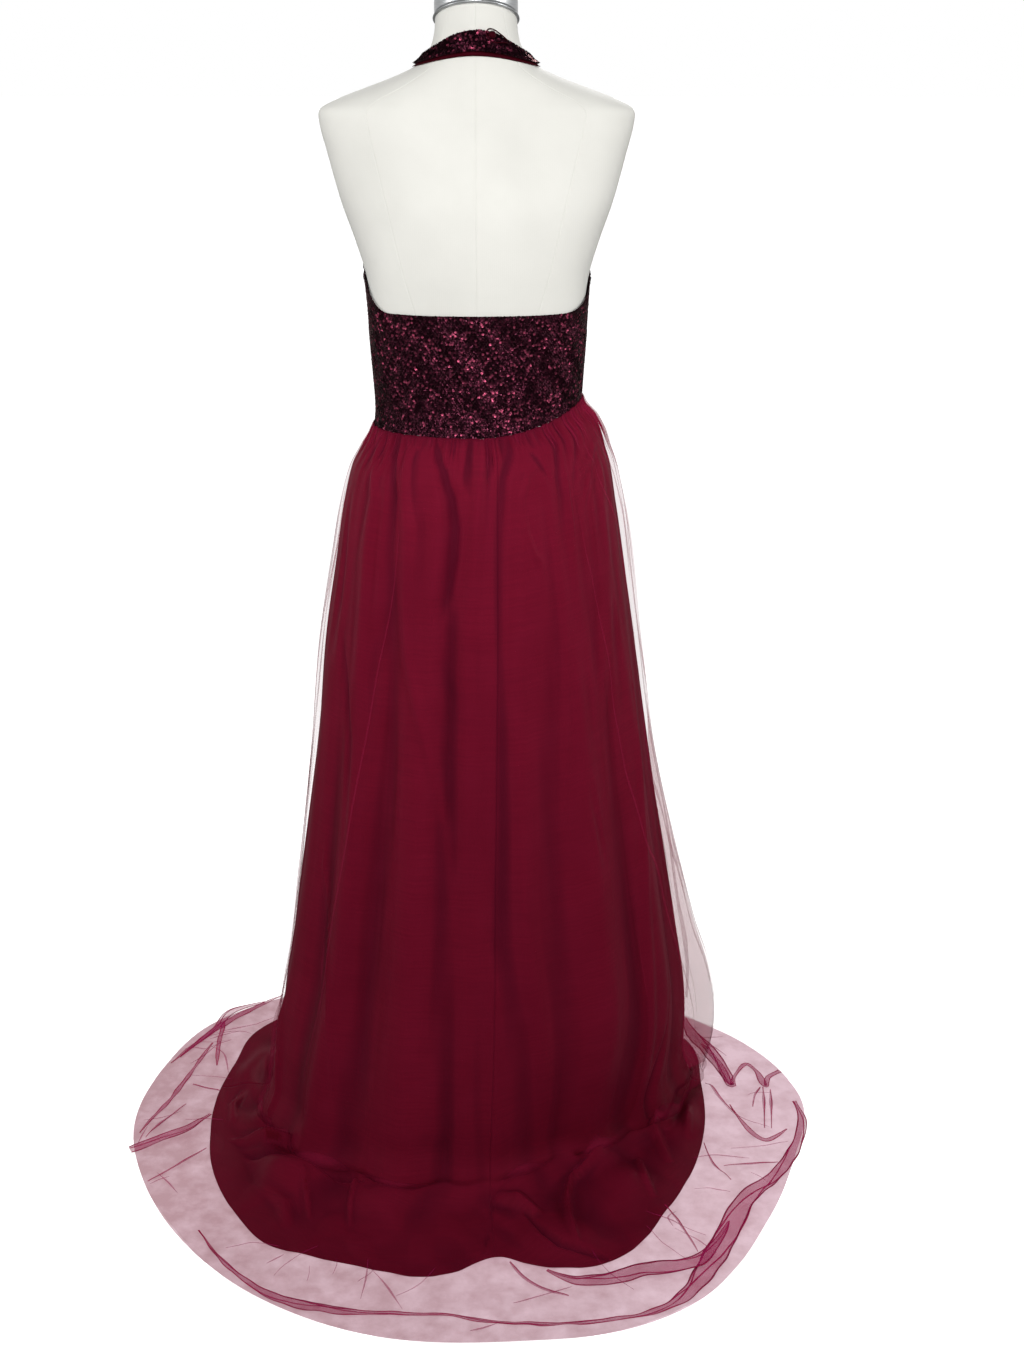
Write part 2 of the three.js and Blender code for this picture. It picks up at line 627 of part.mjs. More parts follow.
// Long folds at a place round the body and a height: outwards, in millimetres.
function longFolds(place, z) {
  return FOLDS.reduce((sum, fold) => {
    const grown = ease((fold.top - z) / (fold.top - fold.full));
    return sum + fold.depth * grown * hump(wrap(place - fold.at), fold.half);
  }, 0);
}

// Gathers below the waist seam, at an angle from the centre-back seam. They are uneven, and each dies out in its own
// length.
function gathers(angle, below) {
  const uneven = 0.72 + 0.28 * Math.sin(radians(angle * 5 + 40)) * Math.cos(radians(angle * 3 - 25));
  const length = 120 + 60 * Math.sin(radians(angle * 7 + 15));
  const rise = mix(0.25, 1, ease(below / 28));
  return GATHER_DEPTH * uneven * rise * ease(1 - below / length) * Math.cos(radians(angle * GATHERS));
}

// Outline of the hanging satin before gathers: direction from the pole's axis and reach at the four quarters.
function hangingPoint(angle, z, below) {
  const side = Math.sin(radians(angle));
  const end = Math.cos(radians(angle));
  const across = side > 0 ? satinReach.left(z) : satinReach.right(z);
  const along = end > 0 ? satinReach.back(z) : satinReach.front(z);
  const free = new THREE.Vector3(across * side, along * end, z);
  const fitted = offForm(z, angle, SATIN_OFF_FORM);
  const shape = fitted.lerp(free, ease(below / 30));
  const foot = new THREE.Vector3(side, end, 0).multiplyScalar(breakLine(angle));
  return shape.lerp(foot.setZ(z), ease((260 - z) / 260) * 0.9);
}

// Middle of the satin at row place `drop` (0 to 1 down to the floor) and `out` (0 to 1 along the floor to the hem).
function satinPoint(angle, drop, out) {
  const place = leaning(angle, drop);
  const direction = new THREE.Vector3(Math.sin(radians(place)), Math.cos(radians(place)), 0);
  const seam = waistSeam(place);
  if (out === 0) {
    const z = mix(seam, BACK_HEM_FALL * 0.5, drop);
    const below = seam - z;
    const push = longFolds(place, z) + gathers(angle, below);
    return hangingPoint(place, z, below).addScaledVector(direction, push);
  }
  const from = hangingPoint(place, BACK_HEM_FALL * 0.5, seam).addScaledVector(direction, longFolds(place, 0));
  const start = Math.hypot(from.x, from.y);
  const reach = mix(start, Math.max(satinHem(place), start + 14), out);
  const foot = direction.clone().multiplyScalar(reach);
  return foot.setZ(SATIN_THICK / 2 + satinLift(place, out));
}

// Height of the lying satin over the floor: the turn from hanging, folds running out, and buckles.
function satinLift(place, out) {
  const turn = BACK_HEM_FALL * 0.5 * Math.max(0, 1 - out / 0.3) ** 2;
  const ridges = FOLDS.reduce(
    (sum, fold) => sum + fold.floor * hump(wrap(place - fold.at), fold.half) * ease(1 - out / 0.8),
    0,
  );
  return turn + ridges * ease(out / 0.1) + buckles(SATIN_BUCKLES, place, out);
}

function buckles(table, place, out) {
  return table.reduce(
    (sum, row) => sum + row.height * hump(wrap(place - row.at), row.half) * hump(out - row.along, row.reach),
    0,
  );
}

// A panel's rows of places: drop to the floor, then along the floor.
const hanging = DROPS.map((drop) => ({ drop, out: 0 }));
const satinRows = [...hanging, ...SATIN_TRAIN.map((out) => ({ drop: 1, out }))];
const tulleRows = [
  ...hanging,
  ...TULLE_TRAIN.map((out) => ({ drop: 1, out })),
  ...TULLE_EDGE.map((past) => ({ drop: 1, out: 1, past })),
];
const STEP = 360 / (GATHERS * 2); // a column on each crest and in each hollow

// Angles of a panel's columns from one seam down to the next, measured from the centre-back seam, with two columns of
// each neighbouring panel for the sake of the normals.
function panelAngles(from, to) {
  const count = Math.round((from - to) / STEP);
  return Array.from({ length: count + 5 }, (_, j) => from - (j - 2) * STEP);
}

// Closed wall of a panel, without its neighbours' columns: clear of the bodice above and of the panels beside it.
function panelWall(points, thickness) {
  const own = (grid) => grid.map((row) => row.slice(2, -2));
  const normals = own(cornerNormals(points));
  const grid = own(points);
  for (const point of grid[0]) point.z -= SEAM_DROP;
  for (const row of grid) {
    const pull = (edge, next) => edge.addScaledVector(next.clone().sub(edge).normalize(), SEAM_GAP / 2 + 0.05);
    pull(row[0], row[1]);
    pull(row[row.length - 1], row[row.length - 2]);
  }
  return clothWall(grid, thickness, normals);
}

function satinPanel(from, to) {
  const angles = panelAngles(from, to);
  return panelWall(satinRows.map((row) => angles.map((angle) => satinPoint(angle, row.drop, row.out))), SATIN_THICK);
}

// Middle of the tulle: moved out from the satin, and on the floor past the satin's hem.
function tullePoint(angle, row, normal) {
  const satin = satinPoint(angle, row.drop, row.out);
  const place = leaning(angle, row.drop);
  const clear = (SATIN_THICK + TULLE_THICK) / 2 + SEAM_GAP + 0.3;
  if (row.past === undefined) {
    const z = satin.z;
    const off = Object.fromEntries(Object.entries(standoff).map(([side, at]) => [side, at(z)]));
    const own = 2.2 * ease((waistSeam(place) - z) / 220) * (1 + Math.sin(radians(angle * 17 + 30)));
    const distance = row.out === 0 ? quarter(off, place) + own : mix(quarter(off, place), 0.3, ease(row.out / 0.3));
    const moved = satin.addScaledVector(normal, clear + distance);
    moved.z += row.out > 0 ? buckles(TULLE_BUCKLES, place, row.out / 2) : 0;
    return moved;
  }
  const direction = new THREE.Vector3(Math.sin(radians(place)), Math.cos(radians(place)), 0);
  const start = Math.hypot(satin.x, satin.y);
  const reach = mix(start, Math.max(tulleHem(place), start + 22), row.past);
  const settle = (satin.z + clear) * Math.max(0, 1 - row.past / 0.5) ** 2;
  const lift = settle + buckles(TULLE_BUCKLES, place, 0.5 + row.past / 2);
  return direction.multiplyScalar(reach).setZ(TULLE_THICK / 2 + Math.max(0, lift - TULLE_THICK / 2));
}

function tullePanel(from, to) {
  const angles = panelAngles(from, to);
  const under = tulleRows.map((row) => angles.map((angle) => satinPoint(angle, row.drop, row.out)));
  const normals = cornerNormals(under);
  const over = tulleRows.map((row, i) => angles.map((angle, j) => tullePoint(angle, row, normals[i][j])));
  return panelWall(over, TULLE_THICK);
}

// ---- Assembly ----
const finish = (color, roughness, metalness = 0) => new THREE.MeshStandardMaterial({ color, roughness, metalness });

const gown = new THREE.Group();
function add(name, geometry, material) {
  const mesh = new THREE.Mesh(geometry, material);
  mesh.name = name;
  gown.add(mesh);
}

const cover = finish(COLOURS.form, 0.8);
const steel = finish(COLOURS.steel, 0.35, 1);
const iron = finish(COLOURS.iron, 0.6, 0.4);
const sequins = finish(COLOURS.sequins, 0.3, 0.5);
const satin = finish(COLOURS.satin, 0.45);
const tulle = finish(COLOURS.tulle, 0.7);

add("form_torso", formTorso(), cover);
add("form_neck_cap", neckCap(), steel);
add("form_pole", pole(), steel);
add("form_base", base(), iron);
add("bodice_front", bodiceFront(), sequins);
add("bodice_back", bodiceBack(), sequins);
add("neckband", neckband(), sequins);
add("neckband_facing", neckbandFacing(), satin);
add("neck_button", neckButton(), satin);
add("button_loop", buttonLoop(), satin);
// The side seams lie on a crest of the gathers a quarter turn from the centre-back seam.
const SIDE_SEAM = STEP * Math.round(90 / STEP);
for (const [name, from, to] of [
  ["back_left", SIDE_SEAM, 0],
  ["front", 360 - SIDE_SEAM, SIDE_SEAM],
  ["back_right", 0, -SIDE_SEAM],
]) {
  add("satin_" + name, satinPanel(from, to), satin);
  add("tulle_" + name, tullePanel(from, to), tulle);
}

export default gown;
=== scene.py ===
import math

import bmesh
import bpy
import numpy as np
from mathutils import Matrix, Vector
from mathutils.bvhtree import BVHTree


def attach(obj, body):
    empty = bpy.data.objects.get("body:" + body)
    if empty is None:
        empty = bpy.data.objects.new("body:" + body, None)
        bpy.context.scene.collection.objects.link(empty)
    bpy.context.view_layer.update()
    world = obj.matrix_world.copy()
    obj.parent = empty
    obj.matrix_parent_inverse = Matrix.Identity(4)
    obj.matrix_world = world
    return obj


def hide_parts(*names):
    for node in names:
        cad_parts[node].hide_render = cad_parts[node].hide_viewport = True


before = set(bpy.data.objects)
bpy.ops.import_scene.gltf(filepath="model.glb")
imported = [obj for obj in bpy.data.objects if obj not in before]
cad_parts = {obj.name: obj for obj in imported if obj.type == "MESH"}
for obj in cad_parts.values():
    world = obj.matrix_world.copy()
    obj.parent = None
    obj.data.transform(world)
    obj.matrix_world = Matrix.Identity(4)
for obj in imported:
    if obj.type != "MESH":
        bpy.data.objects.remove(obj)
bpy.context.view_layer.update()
chance = np.random.default_rng(7)
scene = bpy.context.scene
MM = 0.001

# ---- Camera ----
CAMERA_AT = (-0.0437, 2.347, 1.467)
CAMERA_DOWN = 19.5  # degrees below level, looking towards -Y
camera = bpy.data.objects.new("camera", bpy.data.cameras.new("camera"))
camera.location = CAMERA_AT
camera.rotation_euler = (math.radians(90 - CAMERA_DOWN), 0, math.pi)
camera.data.sensor_fit = "VERTICAL"
camera.data.sensor_height = 36
camera.data.lens = 47.76
camera.data.clip_end = 50
scene.collection.objects.link(camera)
scene.camera = camera

# ---- Sizes shared with the solids ----
BODICE_OFF = 3.0  # middle of the sequinned cloth off the form
NECKBAND_OFF = 3.8
NECKBAND_HALF = 1  # half of the band's thickness
SATIN_OFF = 3.6
FACING_OFF = 1.4
TO_SIDE = 89.9  # degrees from the centre to just short of a side seam
GATHERS = 44
GATHER_DEPTH = 3.4
TURN_HEIGHT = 17  # the skirt turns from hanging to lying below this height
BACK_SEAM = (-9, -3)  # lean of the centre-back seam at the waist and at the floor
WAIST_SEAM = dict(back=994, left=997, right=1034, front=1014)
BAND_TOP = dict(back=1148, left=1190, right=1170, level_to=48)
LAP_LIFT = 2.4
BAND_ENDS = dict(under=-9, over=-31, lap_from=4)
BUTTON = dict(angle=-18, radius=4.6, below=3, girth=60)
BUST = dict(across=74, height=1205, spread=42, depth=17)

# Form: z, half width, depth to the front, depth to the back, squareness, forward tilt
FORM = np.array([
    (742, 168, 108, 112, 0.03, 0), (820, 169, 112, 120, 0.03, 0), (880, 162, 112, 114, 0.03, 0),
    (940, 149, 108, 101, 0.03, 0), (985, 135, 100, 90, 0.03, 0), (1015, 130, 97, 86, 0.03, 0),
    (1060, 132, 98, 87, 0.04, 0), (1104, 135, 102, 90, 0.05, 0), (1150, 137, 106, 95, 0.06, 0),
    (1186, 141, 109, 98, 0.06, 0), (1230, 154, 107, 100, 0.05, 0), (1279, 171, 98, 100, 0.04, 0),
    (1339, 187, 84, 92, 0.03, 0), (1372, 195, 74, 84, 0.02, 0), (1389, 193, 68, 78, 0.01, 0),
    (1400, 172, 63, 74, 0, 0), (1413, 137, 59, 69, 0, 0), (1425, 104, 57, 65, 0, 0.02),
    (1438, 75, 54, 60, 0, 0.06), (1451, 61, 52, 56, 0, 0.14), (1468, 53, 50, 52, 0, 0.26),
    (1491, 50, 48, 49, 0, 0.38),
])  # fmt: skip
# Bodice front above the side seam: z, half width of the armhole edge
ARMHOLE = np.array([
    (1190, 141.5), (1198, 142), (1208, 139), (1222, 132), (1242, 122), (1270, 110), (1320, 95), (1370, 84),
    (1410, 77), (1432, 74),
])  # fmt: skip
# Edges that ring the neck: height at centre back, side and centre front
NECK_EDGES = dict(
    facing_low=(1450, 1436.5, 1380),
    facing_high=(1462, 1443, 1386),
    band_low=(1455, 1438, 1381),
    band_high=(1479, 1450, 1404),
)
# Satin before its folds: z, then how far it stands from the pole's axis at the left, right, back and front
SATIN = np.array([
    (1040, 134, 136, 91, 101), (1010, 134, 147, 91, 104), (985, 142, 158, 96, 113),
    (965, 152, 164, 105, 118), (940, 166, 172, 115, 123), (887, 179, 181, 128, 130),
    (819, 190, 191, 140, 138), (707, 208, 207, 157, 152), (560, 225, 227, 180, 174),
    (397, 247, 251, 207, 200), (256, 268, 273, 230, 223), (126, 286, 292, 249, 243),
    (0, 298, 300, 264, 262),
])  # fmt: skip
# Tulle off the satin: z, left, right, back, front
STANDOFF = np.array([
    (1040, 0.4, 0.4, 0.4, 0.4), (1000, 0.5, 4, 2, 2), (960, 1, 6, 3, 3), (870, 2, 9, 5, 5),
    (707, 4, 6, 6, 6), (560, 4, 6, 6, 7), (428, 3, 14, 7, 8), (272, 2, 26, 8, 9), (184, 2, 38, 9, 10),
    (90, 4, 42, 9, 11), (0, 4, 20, 7, 8),
])  # fmt: skip
# Where the satin meets the floor, and the two hems: angle, distance from the pole's axis
BREAK_LINE = np.array([
    (-180, 262), (-135, 272), (-90, 286), (-60, 250), (-28, 226), (0, 258), (24, 286), (50, 312), (88, 300),
    (135, 280),
])  # fmt: skip
SATIN_HEM = np.array([
    (-180, 281), (-150, 292), (-125, 322), (-109, 339), (-90, 326), (-69, 341), (-50, 372), (-37, 404),
    (-28, 438), (-20, 453), (-14, 446), (-8, 435), (-4, 421), (0, 425), (5, 446), (12, 456), (20, 453),
    (29, 462), (36, 470), (44, 456), (53, 440), (62, 424), (73, 405), (98, 382), (113, 388), (135, 350),
    (155, 305),
])  # fmt: skip
# How far the hanging satin bulges over its own train at the floor: angle, overhang
BREAK_BULGE = np.array([
    (-180, 3), (-120, 4), (-80, 5), (-60, 2), (-40, 0), (-25, 0), (-8, 0), (8, 4), (20, 9), (29, 5),
    (37, 0), (45, 0), (54, 8), (66, 10), (80, 6), (120, 4),
])  # fmt: skip
TULLE_HEM = np.array([
    (-180, 322), (-150, 340), (-121, 381), (-107, 420), (-95, 452), (-83, 475), (-66, 479), (-49, 507),
    (-38, 540), (-29, 567), (-18, 578), (-5, 571), (12, 573), (29, 559), (46, 538), (62, 522), (78, 512),
    (96, 488), (110, 472), (122, 440), (140, 385), (160, 338),
])  # fmt: skip
# Long folds of both skirts: centre angle, half width in degrees, depth (+ outwards), height where it
# starts, height where it is deepest, height at which it runs out over the floor
FOLDS = [
    (0, 7, -5, 930, 520, 0), (10, 7, -11, 960, 720, 0), (21, 8, 8, 900, 300, 10), (33, 8, -10, 965, 560, 0),
    (45, 9, 10, 930, 260, 20), (58, 8, -9, 900, 240, 0), (72, 9, 9, 820, 200, 12), (86, 8, -7, 860, 300, 0),
    (101, 9, 9, 900, 220, 8), (115, 9, -9, 930, 260, 0), (131, 10, 10, 900, 200, 5),
    (147, 9, -8, 940, 320, 0), (163, 9, 9, 900, 240, 3), (178, 9, -8, 950, 300, 0),
    (-12, 8, 6, 900, 420, 12), (-24, 8, -9, 860, 220, 0), (-38, 9, 10, 930, 300, 16),
    (-52, 8, -8, 900, 240, 0), (-66, 8, 8, 940, 260, 9), (-80, 8, -8, 900, 260, 0),
    (-95, 9, 9, 880, 200, 8), (-110, 9, -8, 930, 300, 0), (-126, 10, 10, 900, 220, 5),
    (-143, 9, -9, 940, 260, 0), (-160, 9, 8, 900, 240, 3),
]  # fmt: skip
# Buckles of the trains on the floor: centre angle, half width in degrees, height, place and half length
# along the train (0 at the break line, 1 at the satin's hem)
SATIN_BUCKLES = [
    (52, 22, 26, 0.32, 0.3), (26, 13, 12, 0.2, 0.25), (-16, 12, 14, 0.72, 0.34), (-5, 10, 9, 1, 0.5),
    (-36, 14, 16, 0.5, 0.4), (-70, 15, 10, 0.6, 0.4), (95, 16, 9, 0.5, 0.4),
]  # fmt: skip
TULLE_BUCKLES = [
    (-100, 16, 30, 0.35, 0.4), (-80, 11, 26, 0.55, 0.5), (-52, 12, 14, 0.75, 0.35),
    (-30, 14, 12, 0.6, 0.35), (22, 16, 9, 0.7, 0.3), (70, 10, 12, 0.55, 0.5), (104, 12, 18, 0.45, 0.5),
    (122, 14, 20, 0.3, 0.4),
]  # fmt: skip

# Creases of the hanging satin, each a path down it: height, angle, half width, depth (+ outwards)
SKIRT_CREASES = [
    [(992, 72, 5, -1), (972, 66.7, 6, -3), (950, 64, 7, 0)],
    [(992, 58.6, 4, -2), (973, 56.7, 5, -2), (952, 56, 5, 0)],
    [(992, 48, 5, -2), (955, 43.2, 7, -5), (919, 39.3, 8, -6.5), (881, 39, 9, -6), (843, 39.1, 10, -5),
     (792, 36.5, 12, -5), (741, 38, 17, -6), (671, 42.5, 24, -7), (577, 43, 28, -7), (455, 40.1, 30, -8),
     (385, 40.2, 32, -9), (301, 40.8, 34, -11), (231, 40.9, 36, -15), (152, 40.3, 38, -20),
     (98, 41.7, 40, -25), (30, 41.7, 40, -28)],
    [(992, 33, 4, -2), (976, 32.5, 4, -2), (955, 32, 4, 0)],
    [(992, 25, 5, -3), (957, 16.6, 8, -7), (922, 11.6, 9, -11), (885, 9.6, 10, -14), (847, 10.4, 10, -15),
     (801, 12.6, 9, -10), (758, 17.6, 10, -3), (704, 14.1, 12, -4), (655, 7.3, 14, -2), (600, 5, 16, 0)],
    [(990, 8, 5, -1), (979, 7.1, 7, -3), (946, 7.3, 8, -2.4), (910, 9, 8, 0)],
    [(990, -17.5, 5, -2), (979, -16.5, 6, -3.5), (946, -10.5, 7, -4), (873, -8.6, 8, -5),
     (798, -7.8, 8, -4.4), (734, -7.7, 7, -3.4), (680, -8, 9, -5), (630, -8.3, 13, -9),
     (565, -8.5, 15, -12), (499, -8.8, 18, -15), (406, -7.7, 20, -17), (339, -7.5, 24, -16),
     (272, -9.5, 28, -14), (189, -11.4, 34, -15), (115, -13, 36, -18), (30, -14, 38, -20)],
    [(988, -39.5, 4, -2), (977, -39.1, 5, -3.4), (944, -37.1, 6, -3.4), (913, -37.8, 6, -1.8),
     (880, -37, 7, 0)],
    [(915, 72, 8, 0), (880, 71.6, 10, -3), (827, 70.5, 12, -5.5), (774, 69.3, 12, -5.5),
     (715, 69.8, 12, -3), (680, 69, 12, 0)],
    [(745, 63, 8, 0), (713, 61.5, 8, -3), (651, 55.5, 9, -4.5), (600, 52.1, 9, -6), (533, 50.4, 9, -5),
     (452, 48.5, 10, -3.4), (395, 48, 10, 0)],
    [(545, -38.5, 6, 0), (528, -38.9, 7, -3), (487, -40.5, 7, -4.4), (445, -41.5, 7, -2),
     (422, -41.5, 7, 0)],
    [(992, 63, 5, 1), (977, 59.4, 8, 2.5), (916, 49.4, 12, 4), (839, 49.9, 22, 5), (736, 47.9, 20, 3.4),
     (656, 47.9, 12, 1.6), (610, 48, 12, 0)],
    [(992, 38, 6, 1.5), (965, 35.6, 8, 4), (883, 29.6, 15, 5.5), (795, 29.3, 11, 4.5), (731, 26.7, 10, 4.5),
     (668, 21.4, 10, 4.5), (587, 15.6, 11, 4.5), (495, 10.6, 12, 4), (402, 9, 14, 3.5), (292, 10.3, 16, 3),
     (180, 12, 22, 4), (90, 13, 30, 5)],
    [(992, -2.5, 6, 2), (976, -1.9, 8, 3.6), (898, 0.2, 12, 4.4), (810, 1.9, 12, 3.4), (745, 2, 12, 0)],
    [(950, -41.5, 4, 1), (920, -41, 4, 2.4), (891, -41.5, 4, 2), (865, -42, 4, 0)],
    [(912, -19, 4, 0), (880, -20, 5, 2), (850, -23, 6, 3), (832, -30, 4, 1)],
    [(822, -19, 3, 0), (818, -25, 4, 3), (822, -31, 3, 0)],
    [(938, -47, 4, 0), (950, -53, 4, 2.6), (968, -62.5, 4, 2.6), (984, -75, 4, 0.5)],
    [(905, -49, 5, 0.5), (921, -51.5, 5, 2.8), (951, -57.7, 4, 2.8), (978, -67, 4, 0.5)],
    [(963, -28, 4, 0), (950, -22, 5, 2.4), (925, -19, 5, 2), (905, -18, 5, 0)],
    [(982, -22, 4, 0), (968, -27, 4, -2.4), (950, -31, 4, -2), (935, -33, 4, 0)],
    [(985, -53, 4, -1), (968, -50, 4, -2.4), (945, -46, 4, -1.6), (925, -44, 4, 0)],
    [(960, -68, 10, 0.5), (934, -66, 14, 3), (782, -58.3, 24, 4), (656, -48.1, 22, 2), (600, -46, 20, 0)],
    [(775, -33.5, 8, 0), (741, -33.5, 9, 2.2), (637, -31.4, 9, 2.2), (531, -29, 9, 1.5), (480, -28, 9, 0)],
    [(690, -73, 8, 0), (634, -71.5, 9, 2.5), (501, -65.2, 10, 3), (362, -60.5, 12, 4), (219, -57.5, 16, 6),
     (91, -58.3, 20, 7), (30, -58, 20, 4)],
    [(440, 62, 5, 0), (403, 61.2, 5, 3), (293, 51.6, 5, 3.6), (164, 45, 5, 4), (110, 44, 5, 2)],
    [(190, 72.5, 5, 0), (162, 71.9, 6, 5), (108, 68.5, 7, 7), (34, 67, 7, 6)],
    [(230, -70, 8, 0), (165, -68, 9, -4), (112, -65, 10, -7), (66, -63, 9, -8), (25, -62, 9, -4)],
]  # fmt: skip
# Creases of the satin train, each a path over the floor: x, y, half width, height
TRAIN_CREASES = [
    [(352, 148, 5, 1), (325, 165, 9, 10), (298, 179, 11, 17), (270, 181, 12, 17), (250, 158, 12, 6)],
    [(337, 180, 5, -2), (300, 204, 10, -9), (263, 216, 14, -14), (199, 240, 16, -16), (161, 256, 12, -8)],
    [(322, 70, 8, 2), (307, 103, 10, 10), (294, 130, 8, 13), (270, 146, 6, 7)],
    [(158, 244, 5, 3), (169, 268, 6, 6), (172, 305, 5, 5), (169, 345, 4, 1)],
    [(238, 256, 4, 3), (231, 290, 5, 4), (224, 325, 4, 1)],
    [(-30, 293, 16, 5), (-50, 300, 18, 9), (-74, 322, 12, 6)],
    [(-62, 322, 5, -3), (-87, 373, 9, -8), (-106, 393, 10, -9), (-163, 413, 8, -3)],
    [(-128, 396, 5, 3), (-120, 341, 7, 9), (-118, 286, 8, 12), (-125, 248, 7, 10), (-165, 211, 8, 10),
     (-188, 162, 9, 8), (-204, 112, 10, 3)],
    [(-226, 86, 14, 8), (-244, 124, 14, 10), (-261, 196, 10, 2)],
    [(-219, 204, 8, 5), (-225, 253, 9, 7), (-234, 280, 8, 2)],
    [(-18, 300, 4, -2), (-13, 350, 4, -4), (-8, 410, 4, -2)],
    [(-300, 60, 8, 0), (-296, 100, 10, 5), (-292, 150, 8, 0)],
    [(300, 258, 10, 0), (262, 300, 16, 6), (250, 348, 10, 0)],
    [(350, 20, 8, 0), (362, 60, 10, 5), (356, 112, 8, 0)],
]  # fmt: skip

# ---- Small mathematics, all on arrays ----
def ease(t):
    t = np.clip(t, 0, 1)
    return t * t * (3 - 2 * t)


def mix(a, b, t):
    return a + (b - a) * t


def wrap(angle):
    return (np.asarray(angle) + 180) % 360 - 180


def hump(distance, half):
    """One soft hump: 1 at its middle and 0 from half away."""
    return np.where(np.abs(distance) < half, (1 + np.cos(np.pi * np.clip(distance / half, -1, 1))) / 2, 0)


def smooth(table, column, at):
    """A smooth curve through a table's column over its first column, flat past its ends."""
    rows = table[np.argsort(table[:, 0])]
    x, y = rows[:, 0], rows[:, column]
    slope = np.zeros(len(x))
    slope[1:-1] = (y[2:] - y[:-2]) / (x[2:] - x[:-2])
    at = np.clip(at, x[0], x[-1])
    i = np.clip(np.searchsorted(x, at, side="right") - 1, 0, len(x) - 2)
    span = x[i + 1] - x[i]
    t = (at - x[i]) / span
    return (
        (2 * t**3 - 3 * t**2 + 1) * y[i]
        + (t**3 - 2 * t**2 + t) * span * slope[i]
        + (3 * t**2 - 2 * t**3) * y[i + 1]
        + (t**3 - t**2) * span * slope[i + 1]
    )


def smooth_round(table, angle):
    """The same for a table that goes once round the body."""
    rows = np.concatenate([table + (turn, 0) for turn in (-360, 0, 360)])
    return smooth(rows, 1, wrap(angle))


def quarter(left, right, back, front, angle):
    """A value given at the four quarters, at any angle."""
    side, end = np.sin(np.radians(angle)), np.cos(np.radians(angle))
    return mix(np.where(end > 0, back, front), np.where(side > 0, left, right), side**2)


def unit(v):
    return v / np.maximum(np.linalg.norm(v, axis=-1, keepdims=True), 1e-12)


def grid_normals(points):
    """Outward normals of a grid whose rows run down and whose columns run anticlockwise from above."""
    return unit(np.cross(np.gradient(points, axis=0), np.gradient(points, axis=1)))


def waves(u, v, seed, sizes):
    """Soft uneven noise from a few sine waves, about -1 to 1. sizes are wavelengths along u and v."""
    r = np.random.default_rng(seed)
    total = np.zeros(np.broadcast(u, v).shape)
    for _ in range(9):
        a = r.uniform(0.6, 1.6) * 2 * np.pi / sizes[0] * r.choice((-1, 1))
        b = r.uniform(0.6, 1.6) * 2 * np.pi / sizes[1]
        total += np.sin(a * u + b * v + r.uniform(0, 2 * np.pi))
    return total / 4.5


def along_paths(x, y, paths, y_scale=1.0, hollows_wider=1.0):
    """Sum of soft ridges and hollows along paths of (x, y, half width, height). y_scale turns y into a
    length."""
    total = np.zeros(np.broadcast(x, y).shape)
    for path in paths:
        nearest = np.full(total.shape, np.inf)
        half, height = np.ones(total.shape), np.zeros(total.shape)
        for (ax, ay, ah, az), (bx, by, bh, bz) in zip(path, path[1:]):
            dx, dy = bx - ax, (by - ay) * y_scale
            from_x, from_y = x - ax, (y - ay) * y_scale
            t = np.clip((from_x * dx + from_y * dy) / (dx * dx + dy * dy), 0, 1)
            distance = np.hypot(from_x - t * dx, from_y - t * dy)
            closer = distance < nearest
            nearest = np.where(closer, distance, nearest)
            half = np.where(closer, mix(ah, bh, t) * (hollows_wider if az + bz < 0 else 1), half)
            height = np.where(closer, mix(az, bz, t), height)
        total += height * hump(nearest / half, 1)
    return total


# ---- The form, and places on it ----
def form_point(z, angle):
    side, end = np.sin(np.radians(angle)), np.cos(np.radians(angle))
    swell = 1 + smooth(FORM, 4, z) * (2 * side * end) ** 2
    x = smooth(FORM, 1, z) * side * swell
    y = np.where(end > 0, smooth(FORM, 3, z), smooth(FORM, 2, z)) * end * swell
    rise = (z - BUST["height"]) ** 2
    near = sum(np.exp(-((x - s * BUST["across"]) ** 2 + rise) / (2 * BUST["spread"] ** 2)) for s in (-1, 1))
    y = y - BUST["depth"] * near * ease(-end * 2)
    return np.stack([x, y, z + smooth(FORM, 5, z) * y], axis=-1)


def off_form(z, angle, gap):
    z, angle = np.broadcast_arrays(np.asarray(z, float), np.asarray(angle, float))
    around = form_point(z, angle + 0.5) - form_point(z, angle - 0.5)
    up = form_point(z + 0.5, angle) - form_point(z - 0.5, angle)
    return form_point(z, angle) + unit(np.cross(up, around)) * np.asarray(gap)[..., None]


def waist_seam(angle):
    w = WAIST_SEAM
    return quarter(w["left"], w["right"], w["back"], w["front"], angle)


def band_top(angle):
    rise = ease((np.abs(angle) - BAND_TOP["level_to"]) / (90 - BAND_TOP["level_to"]))
    return mix(BAND_TOP["back"], np.where(np.asarray(angle) > 0, BAND_TOP["left"], BAND_TOP["right"]), rise)


def neck_edge(edge, angle):
    """Height and angle on the form of a point of an edge that rings the neck."""
    back, side, front = edge
    angle = np.asarray(angle, float)
    end = np.cos(np.radians(angle))
    height = side + np.where(end > 0, back - side, front - side) * end**2
    share = smooth(FORM, 1, side) * np.sin(np.radians(angle)) / smooth(FORM, 1, height)
    place = np.where(end > 0, angle, 180 - np.degrees(np.arcsin(np.clip(share, -1, 1))))
    z = height
    for _ in range(6):
        z = height - smooth(FORM, 5, z) * form_point(z, place)[..., 1]
    return z, place


